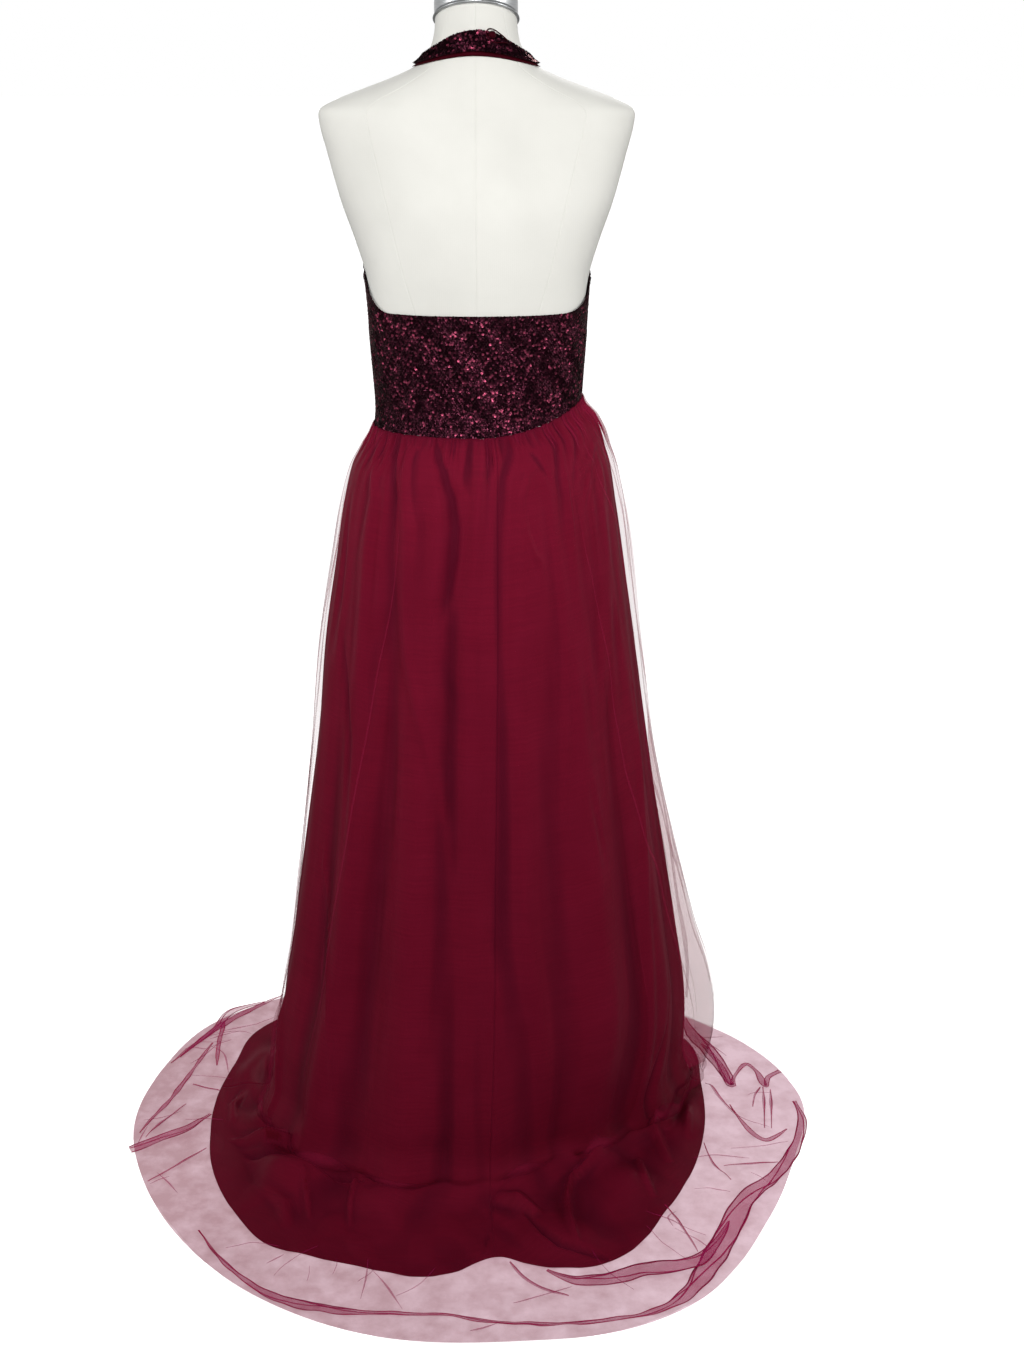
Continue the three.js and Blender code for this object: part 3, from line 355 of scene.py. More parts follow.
# ---- Meshes ----
def new_piece(name, vertices, faces, material, smooth_faces=True):
    """A mesh object from points in millimetres."""
    mesh = bpy.data.meshes.new(name)
    vertices = np.asarray(vertices, float).reshape(-1, 3) * MM
    faces = np.asarray(faces, int)
    mesh.vertices.add(len(vertices))
    mesh.vertices.foreach_set("co", vertices.ravel())
    mesh.loops.add(faces.size)
    mesh.loops.foreach_set("vertex_index", faces.ravel())
    mesh.polygons.add(len(faces))
    mesh.polygons.foreach_set("loop_start", np.arange(0, faces.size, faces.shape[1]))
    mesh.polygons.foreach_set("use_smooth", np.full(len(faces), smooth_faces))
    mesh.update(calc_edges=True)
    mesh.validate()
    piece = bpy.data.objects.new(name, mesh)
    scene.collection.objects.link(piece)
    mesh.materials.append(material)
    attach(piece, "root")
    return piece


def grid_faces(rows, columns):
    i, j = np.meshgrid(np.arange(rows - 1), np.arange(columns - 1), indexing="ij")
    a = (i * columns + j).ravel()
    return np.stack([a, a + columns, a + columns + 1, a + 1], axis=1)


def ring_faces(count, size):
    """Quads between rings of points that follow each other."""
    i, j = np.meshgrid(np.arange(count - 1), np.arange(size), indexing="ij")
    a, b = i * size + j, i * size + (j + 1) % size
    return np.stack([a, b, b + size, a + size], axis=-1).reshape(-1, 4)


def set_uv(piece, flat):
    """UVs in metres, from a pair of numbers for each vertex."""
    layer = piece.data.uv_layers.get("cloth") or piece.data.uv_layers.new(name="cloth")
    index = np.zeros(len(piece.data.loops), int)
    piece.data.loops.foreach_get("vertex_index", index)
    layer.data.foreach_set("uv", flat[index].ravel())


def cloth(name, points, material, thickness=0):
    """A sheet of cloth from a grid of points, with its length down and across as UVs."""
    piece = new_piece(name, points, grid_faces(*points.shape[:2]), material)
    down = np.cumsum(np.linalg.norm(np.diff(points, axis=0, prepend=points[:1]), axis=2), axis=0)
    across = np.cumsum(np.linalg.norm(np.diff(points, axis=1, prepend=points[:, :1]), axis=2), axis=1)
    set_uv(piece, np.stack([across, down], axis=2).reshape(-1, 2) * MM)
    if thickness:
        shell = piece.modifiers.new("thickness", "SOLIDIFY")
        shell.thickness = thickness * MM
        shell.offset = 0
    return piece


def closed_rings(name, rings, material):
    """A solid from rings that run up, anticlockwise from above, closed by fans."""
    count, size = rings.shape[:2]
    vertices = np.concatenate([rings.reshape(-1, 3), rings[0].mean(0)[None], rings[-1].mean(0)[None]])
    piece = new_piece(name, vertices, ring_faces(count, size), material)
    mesh = piece.data
    solid = bmesh.new()
    solid.from_mesh(mesh)
    solid.verts.ensure_lookup_table()
    low, high = solid.verts[count * size], solid.verts[count * size + 1]
    top = (count - 1) * size
    for j in range(size):
        k = (j + 1) % size
        solid.faces.new((low, solid.verts[k], solid.verts[j])).smooth = True
        solid.faces.new((high, solid.verts[top + j], solid.verts[top + k])).smooth = True
    solid.to_mesh(mesh)
    solid.free()
    return piece


def flat_tube(path, normals, widths, thickness, sides=8):
    """Vertices and faces of a flattened tube along a path, widest across its normals."""
    tangent = unit(np.gradient(path, axis=0))
    across = unit(np.cross(normals, tangent))
    turn = 2 * np.pi * np.arange(sides) / sides
    rings = (
        path[:, None]
        + across[:, None] * (0.5 * np.asarray(widths)[:, None] * np.cos(turn))[..., None]
        + normals[:, None] * (np.asarray(thickness)[:, None] * 0.5 * (1 + np.sin(turn)))[..., None]
    )
    return rings.reshape(-1, 3), ring_faces(len(path), sides)


def keep_values(piece, name, values):
    """Keeps a number at each point of a piece for its material."""
    kept = piece.data.attributes.new(name, "FLOAT", "POINT")
    kept.data.foreach_set("value", np.asarray(values, float).ravel())


def plan_uv(piece, vertices):
    """UVs for a piece too small for its weave's direction to matter, seen from above with its height
    slanted in."""
    slant = 0.7
    set_uv(piece, (vertices[:, :2] + vertices[:, 2:] * slant) * MM)


def trimmed_in_satin(piece):
    """UVs of the button and its loop, and a painted shade that darkens their satin."""
    points = np.array([v.co[:] for v in piece.data.vertices])
    set_uv(piece, points[:, [0, 2]])
    # Painted shade, the same all over both pieces.
    keep_values(piece, "painted_shade", np.full(len(points), 0.85))


def tube(name, path, width, material):
    up = np.broadcast_to((0.0, 0.0, 1.0), path.shape)
    size = np.full(len(path), width)
    vertices, faces = flat_tube(path - up * width / 2, up, size, size, sides=6)
    piece = new_piece(name, vertices, faces, material)
    plan_uv(piece, vertices)
    return piece


# ---- Materials ----
RAMP = "ShaderNodeValToRGB"


def colour(code):
    """sRGB hex to linear."""
    channels = [int(code[i : i + 2], 16) / 255 for i in (0, 2, 4)]
    return tuple(c / 12.92 if c <= 0.04045 else ((c + 0.055) / 1.055) ** 2.4 for c in channels) + (1.0,)


def node(tree, kind, links=None, **settings):
    """Adds a node. Its settings are its own properties, its inputs' values or the (position, hex) stops of
    its ramp, and its links go from input to output socket."""
    made = tree.nodes.new(kind)
    stops = settings.pop("stops", [])
    for _ in stops[2:]:
        made.color_ramp.elements.new(0.5)
    for k, (position, code) in enumerate(stops):
        made.color_ramp.elements[k].position = position
        made.color_ramp.elements[k].color = colour(code)
    for key, value in settings.items():
        name = key.replace("_", " ")
        if hasattr(made, key):
            setattr(made, key, value)
        else:
            made.inputs[name].default_value = value
    for name, socket in (links or {}).items():
        tree.links.new(socket, made.inputs[name])
    return made


def new_material(name, **values):
    """A material with these values on its shader."""
    material = bpy.data.materials.new(name)
    material.use_nodes = True
    shader = material.node_tree.nodes["Principled BSDF"]
    for key, value in values.items():
        shader.inputs[key.replace("_", " ")].default_value = value
    return material, material.node_tree, shader


def polyester_satin():
    """Polyester satin, woven with long floats: a broad soft gloss, with faint slubs along the weft."""
    material, tree, shader = new_material(
        "polyester_satin_wine", Roughness=0.48, Specular_IOR_Level=0.09, Specular_Tint=colour("d0506c")
    )
    place = node(tree, "ShaderNodeUVMap", uv_map="cloth").outputs["UV"]
    # Slubs: thicker threads run across the cloth, about 3 mm apart and 60 mm long.
    weft = node(tree, "ShaderNodeMapping", {"Vector": place})
    weft.inputs["Scale"].default_value = (16, 330, 1)
    slubs = node(tree, "ShaderNodeTexNoise", {"Vector": weft.outputs["Vector"]}, Scale=1.0, Detail=3.0)
    cloud = node(tree, "ShaderNodeTexNoise", {"Vector": place}, Scale=7.0, Detail=2.0)
    uneven = {0: slubs.outputs["Fac"], 1: cloud.outputs["Fac"]}
    tone = node(tree, "ShaderNodeMath", uneven, operation="MULTIPLY")
    dyed = node(tree, RAMP, {"Fac": tone.outputs[0]}, stops=[(0.12, "500715"), (0.4, "5c0a1a")])
    # Painted shade: down in a fold the base colour is mixed, by the painted shade kept on the cloth, towards a
    # red that is nearly black.
    painted_shade_amount = node(tree, "ShaderNodeAttribute", attribute_name="painted_shade").outputs["Fac"]
    deep = node(tree, "ShaderNodeMix", {"Factor": painted_shade_amount, "A": dyed.outputs["Color"]}, data_type="RGBA")
    deep.inputs["B"].default_value = colour("1a0308")
    tree.links.new(deep.outputs["Result"], shader.inputs["Base Color"])
    # The weave itself is 0.2 mm; it is drawn at 0.9 mm so that it shows.
    weave = node(tree, "ShaderNodeMapping", {"Vector": place})
    weave.inputs["Scale"].default_value = (1100, 1100, 1)
    threads = node(tree, "ShaderNodeTexVoronoi", {"Vector": weave.outputs["Vector"]}, Scale=1.0)
    raised = {0: threads.outputs["Distance"], 1: slubs.outputs["Fac"]}
    height = node(tree, "ShaderNodeMath", raised, operation="ADD")
    bump = node(tree, "ShaderNodeBump", {"Height": height.outputs[0]}, Strength=0.12, Distance=0.0004)
    tree.links.new(bump.outputs["Normal"], shader.inputs["Normal"])
    return material


def nylon_tulle(name, cover, dyes):
    """Nylon tulle, a fine hexagonal net: mostly air, so it veils what is behind it and darkens where it
    doubles. cover is the share of the light that one layer stops."""
    material, tree, shader = new_material(name, Roughness=0.7, Specular_IOR_Level=0.0, Alpha=cover)
    place = node(tree, "ShaderNodeUVMap", uv_map="cloth").outputs["UV"]
    uneven = node(tree, "ShaderNodeTexNoise", {"Vector": place}, Scale=22.0, Detail=3.0)
    dyed = node(tree, RAMP, {"Fac": uneven.outputs["Fac"]}, stops=[(0.3, dyes[0]), (0.7, dyes[1])])
    tree.links.new(dyed.outputs["Color"], shader.inputs["Base Color"])
    # The net's cells are 1 mm; they are drawn at 1.6 mm.
    cells = node(tree, "ShaderNodeMapping", {"Vector": place})
    cells.inputs["Scale"].default_value = (620, 620, 1)
    net = node(tree, "ShaderNodeTexVoronoi", {"Vector": cells.outputs["Vector"]}, Scale=1.0)
    bump = node(tree, "ShaderNodeBump", {"Height": net.outputs["Distance"]}, Strength=0.2, Distance=0.0003)
    tree.links.new(bump.outputs["Normal"], shader.inputs["Normal"])
    return material


def sequin_film():
    """Sequins stamped from glossy dyed polyester film: each one is a small tinted mirror."""
    material, tree, shader = new_material(
        "sequin_film_wine", Metallic=0.65, Specular_IOR_Level=0.25, Specular_Tint=colour("b84c66")
    )
    # Their tone differs at random: most are nearly black, and about one in ten is lighter, a painted glint that
    # stands in for catching the light.
    each = node(tree, "ShaderNodeNewGeometry").outputs["Random Per Island"]
    tints_and_glints = [(0.0, "14060b"), (0.62, "1d0911"), (0.9, "36131f"), (1.0, "86384e")]
    tree.links.new(node(tree, RAMP, {"Fac": each}, stops=tints_and_glints).outputs["Color"], shader.inputs["Base Color"])
    rough = node(tree, "ShaderNodeMapRange", {"Value": each}, To_Min=0.16, To_Max=0.34)
    tree.links.new(rough.outputs["Result"], shader.inputs["Roughness"])
    return material


def sequin_ground():
    """Fine knitted net under the sequins: matte and nearly black between them."""
    material, tree, shader = new_material("knitted_net_dark_wine", Roughness=0.85, Specular_IOR_Level=0.2)
    place = node(tree, "ShaderNodeUVMap", uv_map="cloth").outputs["UV"]
    # The stitches are 1.4 mm wide.
    knit = node(tree, "ShaderNodeTexVoronoi", {"Vector": place}, Scale=700.0)
    dyed = node(tree, RAMP, {"Fac": knit.outputs["Distance"]}, stops=[(0.1, "14050a"), (0.6, "2c0c16")])
    tree.links.new(dyed.outputs["Color"], shader.inputs["Base Color"])
    return material


def form_jersey():
    """Cotton jersey stretched over a padded form: matte off-white with a fine rib."""
    material, tree, shader = new_material(
        "cotton_jersey_cream", Roughness=0.75, Specular_IOR_Level=0.3, Sheen_Weight=0.15
    )
    place = node(tree, "ShaderNodeTexCoord").outputs["Object"]
    cloud = node(tree, "ShaderNodeTexNoise", {"Vector": place}, Scale=9.0, Detail=4.0)
    cream = node(tree, RAMP, {"Fac": cloud.outputs["Fac"]}, stops=[(0.3, "c7c6c0"), (0.7, "cfcec8")])
    tree.links.new(cream.outputs["Color"], shader.inputs["Base Color"])
    # The knit's wales are 0.6 mm; they are drawn at 1.2 mm.
    rib = node(tree, "ShaderNodeTexWave", {"Vector": place}, Scale=130.0, Distortion=1.5, Detail=1.0)
    bump = node(tree, "ShaderNodeBump", {"Height": rib.outputs["Fac"]}, Strength=0.1, Distance=0.0004)
    tree.links.new(bump.outputs["Normal"], shader.inputs["Normal"])
    return material


def brushed_steel():
    """Brushed steel: fine scratches round the piece spread its highlight."""
    material, tree, shader = new_material("brushed_steel", Metallic=1.0)
    place = node(tree, "ShaderNodeTexCoord").outputs["Object"]
    grain = node(tree, "ShaderNodeMapping", {"Vector": place})
    grain.inputs["Scale"].default_value = (40, 40, 2600)
    scratches = node(tree, "ShaderNodeTexNoise", {"Vector": grain.outputs["Vector"]}, Scale=1.0, Detail=4.0)
    metal = node(tree, RAMP, {"Fac": scratches.outputs["Fac"]}, stops=[(0.3, "a2a4a6"), (0.7, "c4c5c6")])
    tree.links.new(metal.outputs["Color"], shader.inputs["Base Color"])
    rough = node(tree, "ShaderNodeMapRange", {"Value": scratches.outputs["Fac"]}, To_Min=0.3, To_Max=0.5)
    tree.links.new(rough.outputs["Result"], shader.inputs["Roughness"])
    return material


def black_enamel():
    """Baked enamel on cast iron: a satin black skin with a faint orange peel."""
    material, tree, shader = new_material("enamelled_cast_iron", Roughness=0.42)
    place = node(tree, "ShaderNodeTexCoord").outputs["Object"]
    peel = node(tree, "ShaderNodeTexNoise", {"Vector": place}, Scale=420.0, Detail=2.0)
    black = node(tree, RAMP, {"Fac": peel.outputs["Fac"]}, stops=[(0.3, "1d1e20"), (0.7, "27282a")])
    tree.links.new(black.outputs["Color"], shader.inputs["Base Color"])
    bump = node(tree, "ShaderNodeBump", {"Height": peel.outputs["Fac"]}, Strength=0.15, Distance=0.0005)
    tree.links.new(bump.outputs["Normal"], shader.inputs["Normal"])
    return material


satin_cloth = polyester_satin()
tulle_net = nylon_tulle("nylon_tulle_wine", 0.2, ("981e40", "a02246"))
# The same net where it hangs doubled, where it is rolled over itself, and where creases press many layers
# into one
doubled_net = nylon_tulle("nylon_tulle_doubled", 0.26, ("b8244e", "c42c58"))
rolled_net = nylon_tulle("nylon_tulle_rolled", 0.36, ("b42260", "c02a6c"))
pressed_net = nylon_tulle("nylon_tulle_pressed", 0.72, ("b01c4e", "bc265a"))
sequin_shine = sequin_film()
ground_net = sequin_ground()
jersey = form_jersey()
steel = brushed_steel()
enamel = black_enamel()


# ---- Dress form ----
# Princess seams of the form's cover: z, distance from the centre line at the back and in front
PRINCESS = np.array([
    (742, 92, 88), (880, 80, 78), (1015, 52, 50), (1104, 62, 60), (1205, 88, 74), (1290, 108, 80),
    (1339, 120, 86), (1372, 128, 92), (1389, 130, 96), (1400, 118, 92), (1413, 92, 80), (1425, 70, 64),
    (1438, 52, 46), (1491, 34, 30),
])  # fmt: skip
# How a seam sinks and the cover swells beside it, and how far each side of it the mesh is closer
COVER_SEAM = dict(sunk=0.45, half=0.55, swell=0.12, swell_at=1.6, swell_half=0.9, close=3.0)
MOST_OF_WIDTH = 0.8  # no princess seam runs nearer the side than this share of the half width


def form_body():
    """The padded torso, with its seams sunk between panels."""
    seam = COVER_SEAM
    rows = np.concatenate([
        np.linspace(742, 1370, 96), np.linspace(1374, 1470, 46), np.linspace(1474, 1491, 6)
    ])  # fmt: skip
    per_panel = 22
    rings = []
    for z in rows:
        half = float(smooth(FORM, 1, z))
        shares = [min(MOST_OF_WIDTH, float(smooth(PRINCESS, column, z)) / half) for column in (1, 2)]
        back, front = (math.degrees(math.asin(share)) for share in shares)
        seams = [0, back, 90, 180 - front, 180, 180 + front, 270, 360 - back, 360]
        girth = half * math.pi / 180  # roughly the length of a degree
        angles, depths = [], []
        for a, b in zip(seams[:-1], seams[1:]):
            edge = min(seam["close"] / girth, (b - a) / 4)
            near = np.array([0, 0.2, 0.45, 1.0]) * edge
            middle = np.linspace(a + edge, b - edge, per_panel)[1:-1]
            spots = np.concatenate([a + near, middle, b - near[:0:-1]])
            angles.append(spots)
            gap = np.minimum(spots - a, b - spots) * girth
            swell = seam["swell"] * np.exp(-(((gap - seam["swell_at"]) / seam["swell_half"]) ** 2))
            depths.append(swell - seam["sunk"] * np.exp(-((gap / seam["half"]) ** 2)))
        angles, depths = np.concatenate(angles), np.concatenate(depths)
        rings.append(off_form(np.full(len(angles), z), -angles, depths))
    body = closed_rings("form_body", np.array(rings), jersey)
    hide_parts("form_torso")


def neck_cap():
    """The sheet-metal cap over the cut neck, with a rolled lower rim."""
    angles = -np.linspace(0, 360, 97)[:-1]
    cut, lean = FORM[-1, 0], FORM[-1, 5]
    neck = form_point(np.full(len(angles), cut), angles)
    # How much wider than the neck, and how far above its cut
    profile = [
        (1.0, 0.3), (1.045, 0.4), (1.06, 1.6), (1.045, 3.0), (1.022, 3.8), (1.02, 6), (1.02, 19),
        (1.015, 21.5), (0.99, 24.2), (0.94, 26.6), (0.85, 28.9), (0.7, 31.2), (0.5, 33), (0.28, 33.8), (0.1, 34),
    ]  # fmt: skip
    rings = []
    for grow, rise in profile:
        ring = neck.copy()
        ring[:, :2] *= grow
        ring[:, 2] = cut + lean * ring[:, 1] + rise
        rings.append(ring)
    cap = closed_rings("neck_cap", np.array(rings), steel)
    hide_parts("form_neck_cap")


form_body()
neck_cap()
for name, material in (("form_pole", steel), ("form_base", enamel)):
    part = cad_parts[name]
    part.data.materials.clear()
    part.data.materials.append(material)


# ---- Sequinned pieces ----
# Radius, spacing across and down, depth of the cup, height off the net, and how far each one leans, in
# degrees: all of them, a patch of them, and each on its own
SEQUIN = dict(radius=1.85, across=3.0, down=2.6, cup=0.24, off=0.75, lean=8, patch=9, own=(6, 7))


def sequins(name, place, width, length):
    """Overlapping sequins in staggered rows. place(u, v) gives points of the cloth for shares across and
    down."""
    rows = max(2, int(length / SEQUIN["down"]))
    columns = max(2, int(width / SEQUIN["across"]))
    i, j = np.meshgrid(np.arange(rows), np.arange(columns), indexing="ij")
    v = (i + 0.5 + chance.uniform(-0.18, 0.18, i.shape)) / rows
    u = (j + 0.25 + 0.5 * (i % 2) + chance.uniform(-0.2, 0.2, i.shape)) / columns
    u, v = np.clip(u, 0.004, 0.996).ravel(), v.ravel()
    step = 0.002
    at = place(u, v)
    across = unit(place(np.clip(u + step, 0, 1), v) - place(np.clip(u - step, 0, 1), v))
    down = unit(place(u, np.clip(v + step, 0, 1)) - place(u, np.clip(v - step, 0, 1)))
    out = unit(np.cross(down, across))
    down = unit(np.cross(across, out))
    count = len(u)
    # Each disc hangs with its lower edge proud of the one below. Neighbours lean alike, in patches some 30
    # mm wide.
    patch = [waves(u * width, v * length, seed, (46, 60)) for seed in (51, 52)]
    own_lean, own_sway = (chance.normal(0, spread, count) for spread in SEQUIN["own"])
    lean = np.radians(SEQUIN["lean"] + SEQUIN["patch"] * patch[0] + own_lean)[:, None]
    sway = np.radians(SEQUIN["patch"] * patch[1] + own_sway)[:, None]
    face = unit(out * np.cos(lean) * np.cos(sway) - down * np.sin(lean) + across * np.sin(sway))
    first = unit(np.cross(face, down))
    second = np.cross(face, first)
    turn = chance.uniform(0, np.pi / 3, count)[:, None, None] + np.radians(60 * np.arange(6))[None, :, None]
    rim = at[:, None] + SEQUIN["radius"] * (np.cos(turn) * first[:, None] + np.sin(turn) * second[:, None])
    rim = rim + out[:, None] * SEQUIN["off"]
    centre = at + out * SEQUIN["off"] - face * SEQUIN["cup"]
    vertices = np.concatenate([centre[:, None], rim], axis=1).reshape(-1, 3)
    centres = 7 * np.arange(count)[:, None]
    corner = np.arange(6)[None]
    triangles = np.stack([centres + 0 * corner, centres + 1 + corner, centres + 1 + (corner + 1) % 6], axis=2)
    return new_piece(name, vertices, triangles.reshape(-1, 3), sequin_shine, smooth_faces=False)


def back_band_place(u, v, lift=0.0):
    angle = mix(TO_SIDE, -TO_SIDE, u)
    top = band_top(angle)
    return off_form(mix(top, waist_seam(angle) + 0.4, v), angle, BODICE_OFF + lift + 0 * angle)


def front_edge(z, side):
    top = np.where(side > 0, BAND_TOP["left"], BAND_TOP["right"])
    low, high = ARMHOLE[0, 0], ARMHOLE[-1, 0]
    shifted = mix(low, high, (z - top) / (high - top))
    share = np.clip(smooth(ARMHOLE, 1, shifted) / smooth(FORM, 1, z), 0, 1)
    return np.where(z <= top, TO_SIDE, np.minimum(TO_SIDE, np.degrees(np.arcsin(share))))


def front_place(u, v, lift=0.0):
    """The bodice front: u from the wearer's right to left, v from the neckband down to the waist seam."""
    side = mix(-1, 1, u)
    reach, up = np.abs(side), 1 - v
    z_neck, neck_angle = neck_edge(NECK_EDGES["band_low"], 180 - 80 * side)
    top = z_neck - 0.5
    z = mix(waist_seam(180 - 90 * side) + 0.4, top, up)
    correction = np.abs(wrap(neck_angle - 180)) - reach * front_edge(top, side)
    from_front = reach * front_edge(z, side) + correction * up**5
    gap = mix(BODICE_OFF, NECKBAND_OFF, up**5) + lift
    return off_form(z, 180 - np.sign(side) * from_front, gap)


def neckband_place(u, v, lift=0.0):
    """The neckband: u from the end underneath round to the lapped end, v from the upper edge down."""
    turn = mix(360 + BAND_ENDS["under"], BAND_ENDS["over"], u)
    lapped = LAP_LIFT * ease((BAND_ENDS["lap_from"] - turn) / (BAND_ENDS["lap_from"] - BAND_ENDS["under"]))
    edge = [mix(NECK_EDGES["band_high"][k], NECK_EDGES["band_low"][k], v) for k in range(3)]
    z, place = neck_edge(edge, turn)
    return off_form(z, place, NECKBAND_OFF + lapped + lift)


def facing_place(u, v, lift=0.0):
    turn = mix(84, -84, u)
    edge = [mix(NECK_EDGES["facing_high"][k], NECK_EDGES["facing_low"][k], v) for k in range(3)]
    z, place = neck_edge(edge, turn)
    return off_form(z, place, FACING_OFF + lift + 0 * u)


def place_grid(place, rows, columns, lift=0.0):
    v, u = np.meshgrid(np.linspace(0, 1, rows), np.linspace(0, 1, columns), indexing="ij")
    return place(u, v, lift)


def sequinned(name, place, width, length, rows, columns):
    """A piece of sequinned net: its ground, with the sequins sewn on it."""
    ground = cloth(name + "_net", place_grid(place, rows, columns, 0.1), ground_net, thickness=0.6)
    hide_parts(name)
    shine = sequins(name + "_sequins", lambda u, v: place(u, v, 0.45), width, length)


sequinned("bodice_back", back_band_place, 362, 156, 24, 90)
sequinned("bodice_front", front_place, 330, 425, 96, 90)
sequinned("neckband", neckband_place, 418, 27, 8, 150)
facing = cloth("neckband_facing_satin", place_grid(facing_place, 6, 60), satin_cloth, thickness=0.8)
# Painted shade: the facing's satin is darkened as if it lay in the band's shadow.
keep_values(facing, "painted_shade", np.full(len(facing.data.vertices), 0.75))
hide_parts("neckband_facing")


# ---- Button and loop ----
def button_seat(extra):
    z, place = neck_edge(NECK_EDGES["band_high"], BUTTON["angle"])
    return off_form(z - BUTTON["below"], place, NECKBAND_OFF + LAP_LIFT + NECKBAND_HALF + extra)


def covered_button():
    """A dome covered with satin, gathered under its rim."""
    seat, out = button_seat(0.3), unit(button_seat(10) - button_seat(0))
    first = unit(np.cross(out, (0, 0, 1)))
    second = np.cross(out, first)
    rings = []
    for share in np.linspace(0.02, 0.98, 18):
        turn = math.pi * share
        radius = BUTTON["radius"] * math.sin(turn) ** 0.8
        height = BUTTON["radius"] * 0.72 * (1 - math.cos(turn))
        spokes = np.radians(np.arange(0, 360, 7.5))
        pucker = 1 + 0.03 * np.cos(spokes * 12) * (share < 0.4)
        ring = seat + out * height + radius * pucker[:, None] * (
            np.cos(spokes)[:, None] * first + np.sin(spokes)[:, None] * second
        )
        rings.append(ring)
    piece = closed_rings("covered_button", np.array(rings), satin_cloth)
    trimmed_in_satin(piece)
    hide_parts("neck_button")


# The rouleau loop's path: distance towards the right, height, height off the band beneath
LOOP = np.array([
    (20.5, 1.4, 0), (18.2, 1.8, 1.2), (15, 2.6, 2.4), (9, 4.4, 2.4), (3.5, 5.9, 2.4), (-2.6, 5.9, 2.4),
    (-6.2, 2.2, 2.4), (-6.2, -2.2, 2.4), (-2.6, -5.9, 2.4), (3.5, -5.9, 2.4), (9, -4.4, 2.4),
    (15, -2.6, 2.4), (18.2, -1.8, 1.2), (20.5, -1.4, 0),
])  # fmt: skip


LOOP_CORD = dict(radius=0.8, off_band=0.3)


def button_loop():
    per_degree = BUTTON["girth"] * math.pi / 180
    z, place = neck_edge(NECK_EDGES["band_high"], BUTTON["angle"] - LOOP[:, 0] / per_degree)
    off = NECKBAND_OFF + NECKBAND_HALF + LOOP_CORD["radius"] + LOOP_CORD["off_band"] + LOOP[:, 2]
    path = off_form(z - BUTTON["below"] + LOOP[:, 1], place, off)
    curve = bpy.data.curves.new("button_loop", "CURVE")
    curve.dimensions = "3D"
    curve.bevel_depth = LOOP_CORD["radius"] * MM
    curve.bevel_resolution = 4
    curve.use_fill_caps = True
    spline = curve.splines.new("NURBS")
    spline.points.add(len(path) - 1)
    for point, at in zip(spline.points, path):
        point.co = (*(at * MM), 1)
    spline.order_u = 4
    spline.use_endpoint_u = True
    spline.resolution_u = 6
    loop = bpy.data.objects.new("button_loop", curve)
    scene.collection.objects.link(loop)
    bpy.context.view_layer.update()
    mesh = bpy.data.meshes.new_from_object(loop.evaluated_get(bpy.context.evaluated_depsgraph_get()))
    bpy.data.objects.remove(loop)
    piece = bpy.data.objects.new("rouleau_loop", mesh)
    scene.collection.objects.link(piece)
    mesh.materials.clear()
    mesh.materials.append(satin_cloth)
    trimmed_in_satin(piece)
    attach(piece, "root")
    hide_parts("button_loop")


covered_button()
button_loop()


# ---- Skirts ----
def long_folds(place, z):
    total = 0
    for at, half, depth, top, full, _ in FOLDS:
        total = total + depth * ease((top - z) / (top - full)) * hump(wrap(place - at), half)
    return total


def gathers(angle, place, below):
    """Gathers below the waist seam: uneven, each dying out in its own length. They are longer on the
    front."""
    uneven = 0.72 + 0.28 * np.sin(np.radians(angle * 5 + 40)) * np.cos(np.radians(angle * 3 - 25))
    front = ease((np.abs(wrap(place)) - 62) / 26)
    length = mix(58, 120, front) + mix(26, 60, front) * np.sin(np.radians(angle * 7 + 15))
    rise = mix(0.6, 1, ease(below / 10))
    phase = np.radians(angle * GATHERS) + 1.3 * waves(angle, 0 * angle, 3, (23, 1))
    wave = 0.8 * np.cos(phase) + 0.3 * np.cos(2 * phase + 1)
    fine = 1.5 * np.cos(2.3 * phase + 2 * waves(angle, 0 * angle, 4, (17, 1)))
    fine = fine * ease(1 - below / (0.7 * length))
    return (GATHER_DEPTH * uneven * ease(1 - below / length) * wave + fine + 0.5) * rise


def skirt_creases(place, z):
    """The listed creases, measured over the cloth."""
    per_degree = (smooth(SATIN, 1, z) + smooth(SATIN, 3, z)) / 2 * math.pi / 180
    return along_paths(z, wrap(place), SKIRT_CREASES, per_degree, hollows_wider=1.3)


def leaning(angle, drop):
    return angle + mix(*BACK_SEAM, drop) * np.cos(np.radians(angle) / 2) ** 2


# How the satin hangs: free of the body this far below its seam, drawn towards the break line below a
# height, and flared at the floor
HANG = dict(free_by=30, drawn_below=260, drawn=0.9, flare_over=34, flare=15)


def hanging(angle, z, below):
    side, end = np.sin(np.radians(angle)), np.cos(np.radians(angle))
    across = np.where(side > 0, smooth(SATIN, 1, z), smooth(SATIN, 2, z))
    along = np.where(end > 0, smooth(SATIN, 3, z), smooth(SATIN, 4, z))
    free = np.stack([across * side, along * end, z], axis=-1)
    fitted = off_form(z, angle, SATIN_OFF + 0 * z)
    shape = mix(fitted, free, ease(below / HANG["free_by"])[..., None])
    reach = smooth_round(BREAK_LINE, angle)
    foot = np.stack([side * reach, end * reach, z], axis=-1)
    flare = HANG["flare"] * np.clip(1 - (z - TURN_HEIGHT) / HANG["flare_over"], 0, 1) ** 2
    drawn = HANG["drawn"] * ease((HANG["drawn_below"] - z) / HANG["drawn_below"])
    return mix(shape, foot, drawn[..., None]) + outward(angle) * flare[..., None]


def buckles(table, place, out):
    return sum(
        height * hump(wrap(place - at), half) * hump(out - along, reach)
        for at, half, height, along, reach in table
    )


